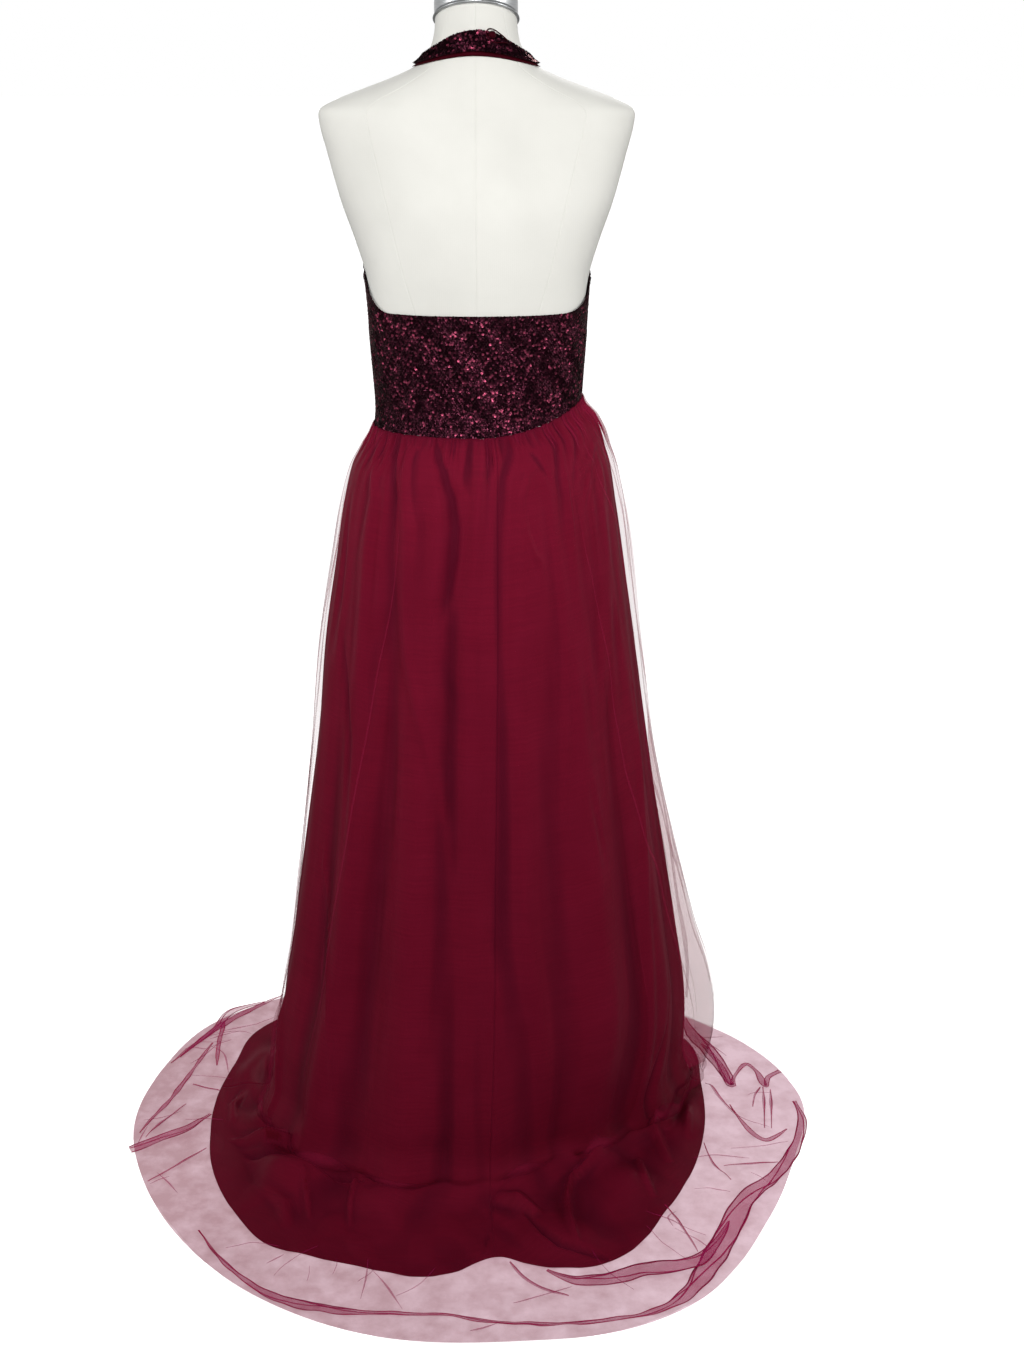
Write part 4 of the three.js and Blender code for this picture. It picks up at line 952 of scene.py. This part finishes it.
def satin_lift(place, out):
    turn = TURN_HEIGHT * np.maximum(0, 1 - out / 0.3) ** 2
    ridges = sum(floor * hump(wrap(place - at), half) for at, half, _, _, _, floor in FOLDS)
    ridges = ridges * ease(1 - out / 0.8)
    return turn + ridges * ease(out / 0.1) + buckles(SATIN_BUCKLES, place, out)


def outward(place):
    return np.stack([np.sin(np.radians(place)), np.cos(np.radians(place)), 0 * place], axis=-1)


def form_behind(points):
    """How far the form stands from the pole's axis behind each point of the satin. Below the form, its
    lower edge."""
    z = np.maximum(points[..., 2], FORM[0, 0])
    depth = np.where(points[..., 1] > 0, smooth(FORM, 3, z), smooth(FORM, 2, z))
    place = np.degrees(np.arctan2(points[..., 0] / smooth(FORM, 1, z), points[..., 1] / depth))
    return np.linalg.norm(form_point(z, place)[..., :2], axis=-1)


CLEAR_OF_FORM = dict(gap=1.6, past_edge=8)  # down to so far past the form's lower edge


def satin_point(angle, drop, out, creased):
    """Middle of the satin: drop 0 to 1 down to the floor, then out 0 to 1 along the floor to the hem.
    creased from 0 to 1 takes in the small creases, and above 1 only those that stand out."""
    place = leaning(angle, drop)
    toward = outward(place)
    seam = waist_seam(place)
    z = mix(seam, TURN_HEIGHT, drop)
    below = seam - z
    soft = 1.2 * waves(angle, below, 5, (26, 900)) + 0.6 * waves(angle, below, 7, (9, 420))
    small = skirt_creases(place, z) + smooth_round(BREAK_BULGE, place) * hump(z - 34, 34)
    small = np.maximum(small, 0) if creased > 1 else small * creased
    push = long_folds(place, z) + gathers(angle, place, below) + soft * ease(below / 120) + small
    hung = hanging(place, z, below) + toward * push[..., None]
    apart = np.linalg.norm(hung[..., :2], axis=-1)
    clear = np.maximum(apart, form_behind(hung) + CLEAR_OF_FORM["gap"])
    kept = np.where(z > FORM[0, 0] - CLEAR_OF_FORM["past_edge"], clear, apart)
    hung = hung * np.stack([kept / apart, kept / apart, np.ones(apart.shape)], axis=-1)
    foot = hanging(place, 0 * z + TURN_HEIGHT, seam) + toward * long_folds(place, 0 * z)[..., None]
    start = np.linalg.norm(foot[..., :2], axis=-1)
    first = start + np.minimum(skirt_creases(place, 0 * z + 25), 0) - 0.5 * smooth_round(BREAK_BULGE, place)
    hem = np.maximum(smooth_round(SATIN_HEM, place), start + 14)
    reach = mix(mix(start, first, min(creased, 1)), hem, out)
    lying = toward * reach[..., None]
    x, y = lying[..., 0], lying[..., 1]
    rumple = 1.6 * np.maximum(0, waves(x, y, 9, (110, 140)))
    small = 1.4 * along_paths(x, y, TRAIN_CREASES) * ease(out / 0.06)
    small = np.maximum(small, 0) if creased > 1 else small * creased
    lying[..., 2] = np.maximum(0.9, 0.9 + satin_lift(place, out) + rumple * ease(out / 0.2) + small)
    return np.where((out > 0)[..., None], lying, hung)


def skirt_angles(start, end, per_gather, spare=1):
    """Places of a panel's columns, measured from the centre-back seam, with a few of each neighbour's."""
    step = 360 / GATHERS / per_gather
    return start - (np.arange(round((start - end) / step) + 1 + 2 * spare) - spare) * step


# Painted shade: how far a point has to be sunk for its colour to be darkened, in the gathers and lower down,
# where the one turns into the other, and a painted shadow as if cast by the edge of the bodice
PAINTED_SHADE = dict(gathers=0.75, folds=3.6, start=0.02, over=0.13, bodice=0.9, bodice_fade=150)


def hollows(points, drop, out, across, down):
    """Painted shade for each point of a grid, from 0 to 1: how deep in a fold it lies, by the mean place of its
    neighbours.
    Gathers are narrow, and get their painted shade at once."""
    normal = grid_normals(points)
    beside = sum(np.roll(points, k, axis=1) for k in range(-across, across + 1)) / (2 * across + 1)
    padded = np.pad(points, ((down, down), (0, 0), (0, 0)), mode="edge")
    above = sum(padded[k : k + len(points)] for k in range(2 * down + 1)) / (2 * down + 1)
    sunk = np.maximum(0, ((beside - points) * normal).sum(-1))
    sunk = sunk + np.maximum(0, ((above - points) * normal).sum(-1)) * ease((out - 0.05) / 0.2)
    lower = ease((drop - PAINTED_SHADE["start"]) / PAINTED_SHADE["over"])
    return 1 - np.exp(-sunk / mix(PAINTED_SHADE["gathers"], PAINTED_SHADE["folds"], lower))


def skirt_grid(angles, drops, outs, pasts=()):
    """Rows of a panel: down to the floor, out over it to the satin's hem, and past that."""
    rows = [(drop, 0, 0) for drop in drops] + [(1, out, 0) for out in outs] + [(1, 1, past) for past in pasts]
    size = len(rows), len(angles)
    grids = [np.broadcast_to(np.array(column, float)[:, None], size) for column in zip(*rows)]
    return np.broadcast_to(angles, size), *grids


SIDE_SEAM = 360 / GATHERS * 11  # a quarter of the gathers
# Rows of the meshes, closest at the gathers: down to the floor, out to the satin's hem, and past it to the
# tulle's
GATHERED = np.linspace(0, 0.16, 34)[:-1]
SATIN_ROWS = (
    np.concatenate([GATHERED, np.linspace(0.16, 0.9, 46)[:-1], np.linspace(0.9, 1, 16)]),
    np.linspace(0.02, 1, 46),
)
TULLE_ROWS = (
    np.concatenate([GATHERED, np.linspace(0.16, 1, 72)]),
    np.linspace(0.03, 1, 30),
    np.linspace(0.03, 1, 38),
)


HEM_ROLL = dict(inside=0.6, width=0.9)


def satin_panel(name, start, end, per_gather, flat, area):
    spare = 13  # columns past each seam, so that folds near it are shaded alike on both sides
    angle, drop, out, _ = skirt_grid(skirt_angles(start, end, per_gather, spare), *SATIN_ROWS)
    points = satin_point(angle, drop, out, 1)
    # Painted shade: the satin's colour is darkened in its folds, and with a painted shadow just under the
    # bodice.
    painted_shade = hollows(points, drop, out, spare - 1, 3)[:, spare:-spare]
    painted_shade = np.maximum(painted_shade, PAINTED_SHADE["bodice"] * np.exp(-drop[:, spare:-spare] * PAINTED_SHADE["bodice_fade"]))
    points = points[:, spare:-spare]
    # The cloth dips where the panels are sewn together.
    for column in (0, -1):
        edge = points[:, column]
        points[:, column] = edge - unit(edge * (1, 1, 0)) * (out[:, 0] == 0)[:, None]
    piece = cloth(name + "_cloth", points, satin_cloth, thickness=0.5)
    keep_values(piece, "painted_shade", painted_shade)
    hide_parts(name)
    rolled = points[-1] - unit(points[-1] * (1, 1, 0)) * HEM_ROLL["inside"]
    hem = tube(name + "_rolled_hem", rolled, HEM_ROLL["width"], satin_cloth)


def tulle_point(angle, drop, out, past, satin, normal):
    place = leaning(angle, drop)
    z = satin[..., 2]
    below = waist_seam(place) - z
    off = quarter(*(smooth(STANDOFF, k, z) for k in (1, 2, 3, 4)), place)
    own = 2.2 * ease(below / 220) * (1 + np.sin(np.radians(angle * 17 + 30)))
    own = own + 0.8 * ease(below / 60) * (1 + waves(angle, below, 21, (7, 500)))
    distance = np.where(out == 0, off + own, mix(off, 0.3, ease(out / 0.3)))
    over = satin + normal * (1.0 + distance)[..., None]
    over[..., 2] += np.where(out > 0, buckles(TULLE_BUCKLES, place, out / 2), 0)
    start = np.linalg.norm(satin[..., :2], axis=-1)
    ragged = 4 * waves(angle, 0 * angle, 33, (40, 1)) + 1.5 * waves(angle, 0 * angle, 34, (11, 1))
    reach = mix(start, np.maximum(smooth_round(TULLE_HEM, place) + ragged, start + 22), past)
    settle = (z + 1.5) * np.maximum(0, 1 - past / 0.5) ** 2
    lying = outward(place) * reach[..., None]
    rumple = 1.8 * np.maximum(0, waves(lying[..., 0], lying[..., 1], 29, (70, 90)))
    lying[..., 2] = 0.6 + settle + buckles(TULLE_BUCKLES, place, 0.5 + past / 2) + rumple * ease(past / 0.2)
    return np.where((past > 0)[..., None], lying, over)


def tulle_panel(name, start, end, per_gather):
    angle, drop, out, past = skirt_grid(skirt_angles(start, end, per_gather), *TULLE_ROWS)
    smooth_satin, under = (satin_point(angle, drop, out, creased) for creased in (0, 2))
    points = tulle_point(angle, drop, out, past, under, grid_normals(smooth_satin))[:, 1:-1]
    piece = cloth(name + "_cloth", points, tulle_net)
    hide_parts(name)
    return piece


# Each panel: from one seam down to the next, and the flat cuts of its satin and tulle
PANELS = {
    "back_left": (SIDE_SEAM, 0, 16, ((0.74, 1.22), 0.5), ((0.95, 1.34), 0.6)),
    "front": (360 - SIDE_SEAM, SIDE_SEAM, 12, ((1.2, 1.12), 0.75), ((1.5, 1.22), 0.95)),
    "back_right": (0, -SIDE_SEAM, 16, ((0.7, 1.2), 0.45), ((0.95, 1.34), 0.6)),
}
tulle_pieces = {}
for side, (start, end, per_gather, satin_cut, _) in PANELS.items():
    satin_panel("satin_" + side, start, end, per_gather, *satin_cut)
    tulle_pieces[side] = tulle_panel("tulle_" + side, start, end, per_gather)

# ---- Pinched folds of the tulle on the floor ----
# Each is a path over the floor: x, y, width of the doubled cloth
PINCHES = [
    [(330, -265, 2), (372, -222, 9), (412, -173, 12), (448, -110, 6), (475, -57, 1)],
    [(356, -242, 3), (405, -213, 14), (424, -157, 10), (464, -74, 2)],
    [(413, -182, 3), (409, -110, 7), (403, -43, 2)],
    [(419, -106, 2), (440, -30, 6), (458, 43, 6), (475, 92, 4), (486, 131, 1)],
    [(432, 2, 2), (410, 14, 4), (388, 24, 2)],
    [(492, 172, 16), (451, 150, 17), (415, 131, 13), (392, 87, 3)],
    [(453, 246, 1), (416, 208, 4), (383, 180, 2)],
    [(433, 56, 1), (462, 108, 4), (475, 145, 1)],
    [(366, 354, 1), (344, 391, 3), (320, 424, 5), (271, 474, 9), (231, 498, 15), (189, 512, 15),
     (149, 519, 10), (109, 520, 6), (37, 521, 4), (-11, 532, 5), (-79, 538, 5), (-151, 532, 6),
     (-212, 517, 8), (-257, 486, 18), (-298, 419, 30), (-348, 313, 28), (-394, 250, 20), (-439, 172, 16),
     (-461, 103, 12), (-457, 51, 5)],
    [(-334, -89, 3), (-358, -40, 10), (-370, 13, 11), (-377, -17, 5), (-399, -54, 6), (-412, -34, 7),
     (-421, 10, 9), (-428, -17, 6), (-448, -34, 9)],
    [(-317, -191, 8), (-335, -97, 24), (-366, -17, 17), (-370, 13, 4)],
    [(-412, 13, 2), (-400, 50, 4), (-391, 87, 1)],
    [(-416, 13, 2), (-410, 68, 4), (-404, 123, 1)],
    [(-426, 21, 2), (-420, 72, 4), (-414, 123, 1)],
    [(-358, 87, 1), (-374, 115, 5), (-403, 148, 8), (-436, 123, 2)],
    [(-335, 222, 1), (-373, 208, 4), (-413, 201, 1)],
    [(-41, 431, 2), (-66, 463, 6), (-114, 486, 2)],
    [(-88, 441, 3), (-130, 459, 18), (-205, 447, 26), (-281, 419, 20), (-329, 339, 3)],
    [(-247, 308, 1), (-266, 356, 4), (-282, 403, 1)],
    [(-330, 16, 1), (-341, 69, 4), (-365, 100, 1)],
    [(-314, 158, 1), (-322, 218, 3), (-340, 262, 1)],
]  # fmt: skip


def through(rows, spacing):
    """Points of a smooth path through rows of numbers whose first three are a place, or first two on the
    floor."""
    rows = np.asarray(rows, float)
    steps = np.linalg.norm(np.diff(rows[:, :2], axis=0), axis=1)
    along = np.concatenate([[0], np.cumsum(steps)])
    at = np.linspace(0, along[-1], max(6, int(along[-1] / spacing)))
    return np.stack([smooth(np.stack([along, column], axis=1), 1, at) for column in rows.T], axis=1)


tulle_trees = [
    BVHTree.FromObject(piece, bpy.context.evaluated_depsgraph_get()) for piece in tulle_pieces.values()
]
OUTSIDE = 700  # farther from the pole than either skirt


def on_tulle(start, direction):
    """Where a line meets the tulle first, and the cloth's outward normal there."""
    hits = [tree.ray_cast(Vector(start) * MM, Vector(direction)) for tree in tulle_trees]
    hits = [hit for hit in hits if hit[0] is not None]
    if not hits:
        return None
    place, normal, _, _ = min(hits, key=lambda hit: hit[3])
    if place.to_2d().dot(-Vector(direction).to_2d()) < 0:
        return None  # it slipped between two panels and met the far side
    return np.array(place) / MM, np.array(normal) * (1 if normal.dot(Vector(direction)) < 0 else -1)


def tulle_reach(angle):
    return float(smooth_round(TULLE_HEM, np.array(angle)))


def small_creases(count):
    """Fine creases scattered over the lying tulle, most of them pointing away from the gown."""
    paths = []
    for _ in range(count):
        angle = chance.uniform(-180, 180)
        satin = float(smooth_round(SATIN_HEM, np.array(angle)))
        reach = chance.uniform(satin + 8, tulle_reach(angle) - 12)
        heading = math.radians(angle + chance.normal(0, 38))
        length = chance.uniform(24, 95)
        x, y, _ = reach * outward(np.array(angle))
        bend = chance.normal(0, 0.07) * length
        along_x, along_y = math.sin(heading), math.cos(heading)
        dx, dy = along_x * length / 2, along_y * length / 2
        middle = (x + along_y * bend, y - along_x * bend, chance.uniform(0.8, 2.6))
        path = [(x - dx, y - dy, 0.4), middle, (x + dx, y + dy, 0.4)]
        if all(math.hypot(px, py) < tulle_reach(math.degrees(math.atan2(px, py))) - 6 for px, py, _ in path):
            paths.append(path)
    return paths


FOLD_STEP = 4.0  # between the points of a fold on the floor
FOLD_HEIGHT = dict(least=0.5, per_width=0.1, most=2.4)
WIDE = 6  # a fold wider than this shows its two edges
STREAK_EVERY = 13  # a wide one has a streak for so much of its width


def fold_height(widths, most):
    return np.minimum(FOLD_HEIGHT["least"] + FOLD_HEIGHT["per_width"] * widths, most)


def pinched_folds():
    """Each fold is a flattened tube, so that the net doubles, with narrow ones in it where it doubles
    again."""
    meshes, cores = [], []
    for number, rows in enumerate(PINCHES + small_creases(84)):
        path = through(rows, FOLD_STEP)
        seed = number + 40
        along = np.arange(len(path)) * FOLD_STEP
        widest = path[:, 2].max()
        uneven = np.minimum(0.4, 2 / np.maximum(path[:, 2], 1))
        widths = np.maximum(path[:, 2] * (1 + uneven * waves(along, 0, seed, (60, 1))), 0.5)
        hits = [on_tulle((x, y, 60), (0, 0, -1)) for x, y in path[:, :2]]
        heights = [hit[0][2] if hit else 0.6 for hit in hits]
        up = np.broadcast_to((0.0, 0.0, 1.0), (len(path), 3))
        points = np.column_stack([path[:, :2], np.array(heights) + 0.4])
        meshes.append(flat_tube(points, up, widths, fold_height(widths, FOLD_HEIGHT["most"])))
        side = unit(np.cross(up, np.gradient(points, axis=0)))
        # Both folded edges of a wide one, and streaks that cross it slowly; only a core in a narrow pinch, and
        # none in a small crease.
        streaks = [0.5 * (-1) ** k * np.cos(along / 75 + k + seed) for k in range(int(widest / STREAK_EVERY))]
        narrow = [0.2] if number < len(PINCHES) else []
        for k, track in enumerate([0.46, -0.46] + streaks if widest > WIDE else narrow):
            shift = side * (track * widths)[:, None]
            core = np.clip(0.06 * widths + 0.9 + 0.6 * waves(along, 0, seed * 11 + k, (70, 1)), 0.3, 2.6)
            cores.append(flat_tube(points + shift + up * 0.3, up, core, fold_height(core, np.inf), sides=5))
    return meshes, cores


# Folds of the hanging tulle: angle, height, width
PLEATS = [
    [(86, 985, 2), (89, 900, 4), (91, 760, 5), (90, 600, 6), (88, 430, 5), (86, 250, 7), (84, 120, 9),
     (82, 60, 4)],
    [(78, 930, 1), (81, 800, 3), (84, 640, 4), (83, 470, 3), (81, 300, 5), (79, 160, 3)],
    [(96, 900, 2), (98, 700, 4), (97, 480, 5), (95, 260, 4), (94, 120, 2)],
    [(-76, 1010, 2), (-80, 900, 4), (-83, 760, 4), (-86, 600, 5), (-88, 430, 6), (-92, 250, 8),
     (-95, 130, 6)],
    [(-66, 980, 1), (-71, 860, 3), (-76, 700, 3), (-81, 520, 4), (-85, 330, 6), (-88, 180, 4)],
    [(-90, 1010, 2), (-93, 820, 4), (-97, 600, 5), (-101, 380, 7), (-106, 200, 9), (-108, 90, 5)],
    [(-52, 900, 1), (-58, 700, 2), (-63, 480, 3), (-67, 260, 3), (-69, 130, 1)],
    [(40, 880, 1), (44, 690, 2), (48, 480, 3), (52, 260, 3), (54, 120, 1)],
    [(150, 985, 2), (152, 760, 4), (154, 480, 5), (155, 200, 6), (156, 60, 3)],
    [(-150, 995, 2), (-151, 760, 4), (-150, 480, 5), (-149, 200, 6), (-148, 60, 3)],
    [(176, 985, 2), (178, 700, 4), (179, 420, 5), (180, 150, 5)],
    [(128, 985, 2), (126, 700, 4), (124, 420, 5), (122, 150, 6)],
    [(-124, 990, 2), (-126, 700, 4), (-128, 420, 5), (-130, 150, 6)],
]  # fmt: skip


SIDE_FOLD = dict(angle=-91.0, top=620, low=30, share=1.16)


def side_fold():
    """At the wearer's right the tulle stands off the satin, and a loose fold of it fills the space between
    them."""
    away, facing = outward(np.array(SIDE_FOLD["angle"])), outward(np.array(SIDE_FOLD["angle"] + 90))
    heights = np.linspace(SIDE_FOLD["top"], SIDE_FOLD["low"], 90)
    hits = [on_tulle(away * OUTSIDE + (0, 0, z), -away) for z in heights]
    rims = np.array([hit[0] for hit in hits if hit])
    z = rims[:, 2]
    space = smooth(STANDOFF, 2, z) * SIDE_FOLD["share"] * ease((SIDE_FOLD["top"] - z) / 90)
    widths = np.maximum(space + 2.5 * waves(z, 0, 61, (160, 1)) * ease((SIDE_FOLD["top"] - z) / 300), 0.5)
    middles = rims - away * (widths / 2 + 0.5)[:, None]
    return [flat_tube(middles, np.broadcast_to(facing, rims.shape), widths, np.full(len(z), 0.8))]


def hanging_pleats():
    """Each pleat is a flattened tube just off the tulle, so that the net doubles."""
    meshes = []
    for rows in PLEATS:
        rows = np.asarray(rows, float)
        heights = np.linspace(rows[0, 1], rows[-1, 1], 90)
        angles, widths = (smooth(rows[:, [1, column]], 1, heights) for column in (0, 2))
        found = []
        for away, z, width in zip(outward(angles), heights, widths):
            hit = on_tulle(away * OUTSIDE + (0, 0, z), -away)
            if hit:
                found.append((hit[0] + hit[1] * 0.3, hit[1], width))
        places, normals, widths = (np.array(column) for column in zip(*found))
        meshes.append(flat_tube(places, unit(normals), widths, fold_height(widths, 1.5)))
    return meshes


def joined(name, meshes, material):
    vertices = np.concatenate([v for v, _ in meshes])
    starts = np.cumsum([0] + [len(v) for v, _ in meshes[:-1]])
    faces = np.concatenate([f + start for (_, f), start in zip(meshes, starts)])
    piece = new_piece(name, vertices, faces, material)
    plan_uv(piece, vertices)
    return piece


floor_folds, floor_edges = pinched_folds()
folds = [
    joined("tulle_floor_folds", floor_folds, rolled_net),
    joined("tulle_fold_edges", floor_edges, pressed_net),
    joined("tulle_side_fold", side_fold(), doubled_net),
    joined("tulle_hanging_pleats", hanging_pleats(), tulle_net),
]


# ---- Floor and light ----
def paper(name, outline, shade, material_name):
    """A flat sheet of the studio floor, lit from below as on a light table."""
    mesh = bpy.data.meshes.new(name)
    mesh.from_pydata(outline, [], [tuple(range(len(outline)))])
    sheet = bpy.data.objects.new(name, mesh)
    scene.collection.objects.link(sheet)
    material, tree, shader = new_material(
        material_name, Base_Color=(shade, shade, shade, 1), Roughness=0.9, Specular_IOR_Level=0.0,
        Emission_Color=(1, 1, 1, 1), Emission_Strength=1,
    )  # fmt: skip
    mesh.materials.append(material)
    sheet.visible_diffuse = sheet.visible_glossy = False
    return tree, shader


def studio():
    paper("floor", [(-90, -90, 0), (90, -90, 0), (90, 90, 0), (-90, 90, 0)], 0.9, "studio_paper")
    # Painted shadow of the net: under it the paper glows with a painted pinkish light in place of the light that
    # comes through the net,
    #     mottled in patches some 30 mm wide and darker towards the wearer's left.
    angles = np.arange(0, 360, 2.0)[::-1]
    rim = outward(angles) * (smooth_round(TULLE_HEM, angles)[:, None] - 2) * MM + (0, 0, 0.0002)
    tree, shader = paper("paper_painted_net_shadow", rim.tolist(), 0.25, "studio_paper_painted_net_shadow")
    place = node(tree, "ShaderNodeTexCoord").outputs["Object"]
    patches = node(tree, "ShaderNodeTexNoise", {"Vector": place}, Scale=30.0, Detail=4.0, Roughness=0.65)
    # Painted: the glow darkens towards +X, the wearer's left.
    left = node(tree, "ShaderNodeSeparateXYZ", {"Vector": place})
    close = node(tree, "ShaderNodeMath", {0: left.outputs["X"]}, operation="MULTIPLY")
    close.inputs[1].default_value = -0.42
    light = node(tree, "ShaderNodeMath", {0: patches.outputs["Fac"], 1: close.outputs[0]}, operation="ADD")
    painted_net_shadow_colour = node(tree, RAMP, {"Fac": light.outputs[0]}, stops=[(0.235, "a9838c"), (0.785, "ddc0cc")])
    tree.links.new(painted_net_shadow_colour.outputs["Color"], shader.inputs["Emission Color"])
    world = bpy.data.worlds.new("studio")
    world.use_nodes = True
    tree = world.node_tree
    toward = node(tree, "ShaderNodeTexCoord").outputs["Generated"]
    up = node(tree, "ShaderNodeSeparateXYZ", {"Vector": toward})
    level = node(tree, "ShaderNodeMath", {0: up.outputs["Z"]}, operation="ABSOLUTE")
    sky = node(
        tree, "ShaderNodeMapRange", {"Value": level.outputs[0]},
        From_Min=0.03, From_Max=0.16, To_Min=1.0, To_Max=0.24,
    )  # fmt: skip
    # The backdrop itself is plain white: only its light and its reflections fall off towards the ceiling.
    seen = node(tree, "ShaderNodeLightPath").outputs["Is Camera Ray"]
    shown = node(tree, "ShaderNodeMath", {0: sky.outputs["Result"], 1: seen}, operation="MAXIMUM")
    tree.links.new(shown.outputs[0], tree.nodes["Background"].inputs["Strength"])
    tree.nodes["Background"].inputs["Color"].default_value = (1, 1, 1, 1)
    scene.world = world
    # name, place, aim, size, spread in degrees, power
    for name, at, aim, size, spread, power in (
        ("key", (0.5, 2.7, 2.6), (0, 0, 1.1), 0.7, 80, 9),
        ("front_key", (-0.5, -2.7, 2.6), (0, 0, 1.1), 0.7, 80, 9),
        ("left_fill", (2.4, 0.8, 1.8), (0, 0, 1.0), 1.0, 70, 3.8),
        ("right_fill", (-2.4, 0.8, 1.8), (0, 0, 1.1), 1.0, 70, 5.2),
        ("glint", (-0.15, 2.6, 1.9), (0, 0, 1.1), 0.08, 60, 3),
    ):
        light = bpy.data.lights.new(name, "AREA")
        light.size = size
        light.spread = math.radians(spread)
        light.energy = power
        lamp = bpy.data.objects.new(name, light)
        lamp.location = at
        lamp.rotation_euler = (Vector(aim) - Vector(at)).to_track_quat("-Z", "Y").to_euler()
        scene.collection.objects.link(lamp)
    scene.view_settings.view_transform = "Standard"
    scene.view_settings.look = "None"


studio()
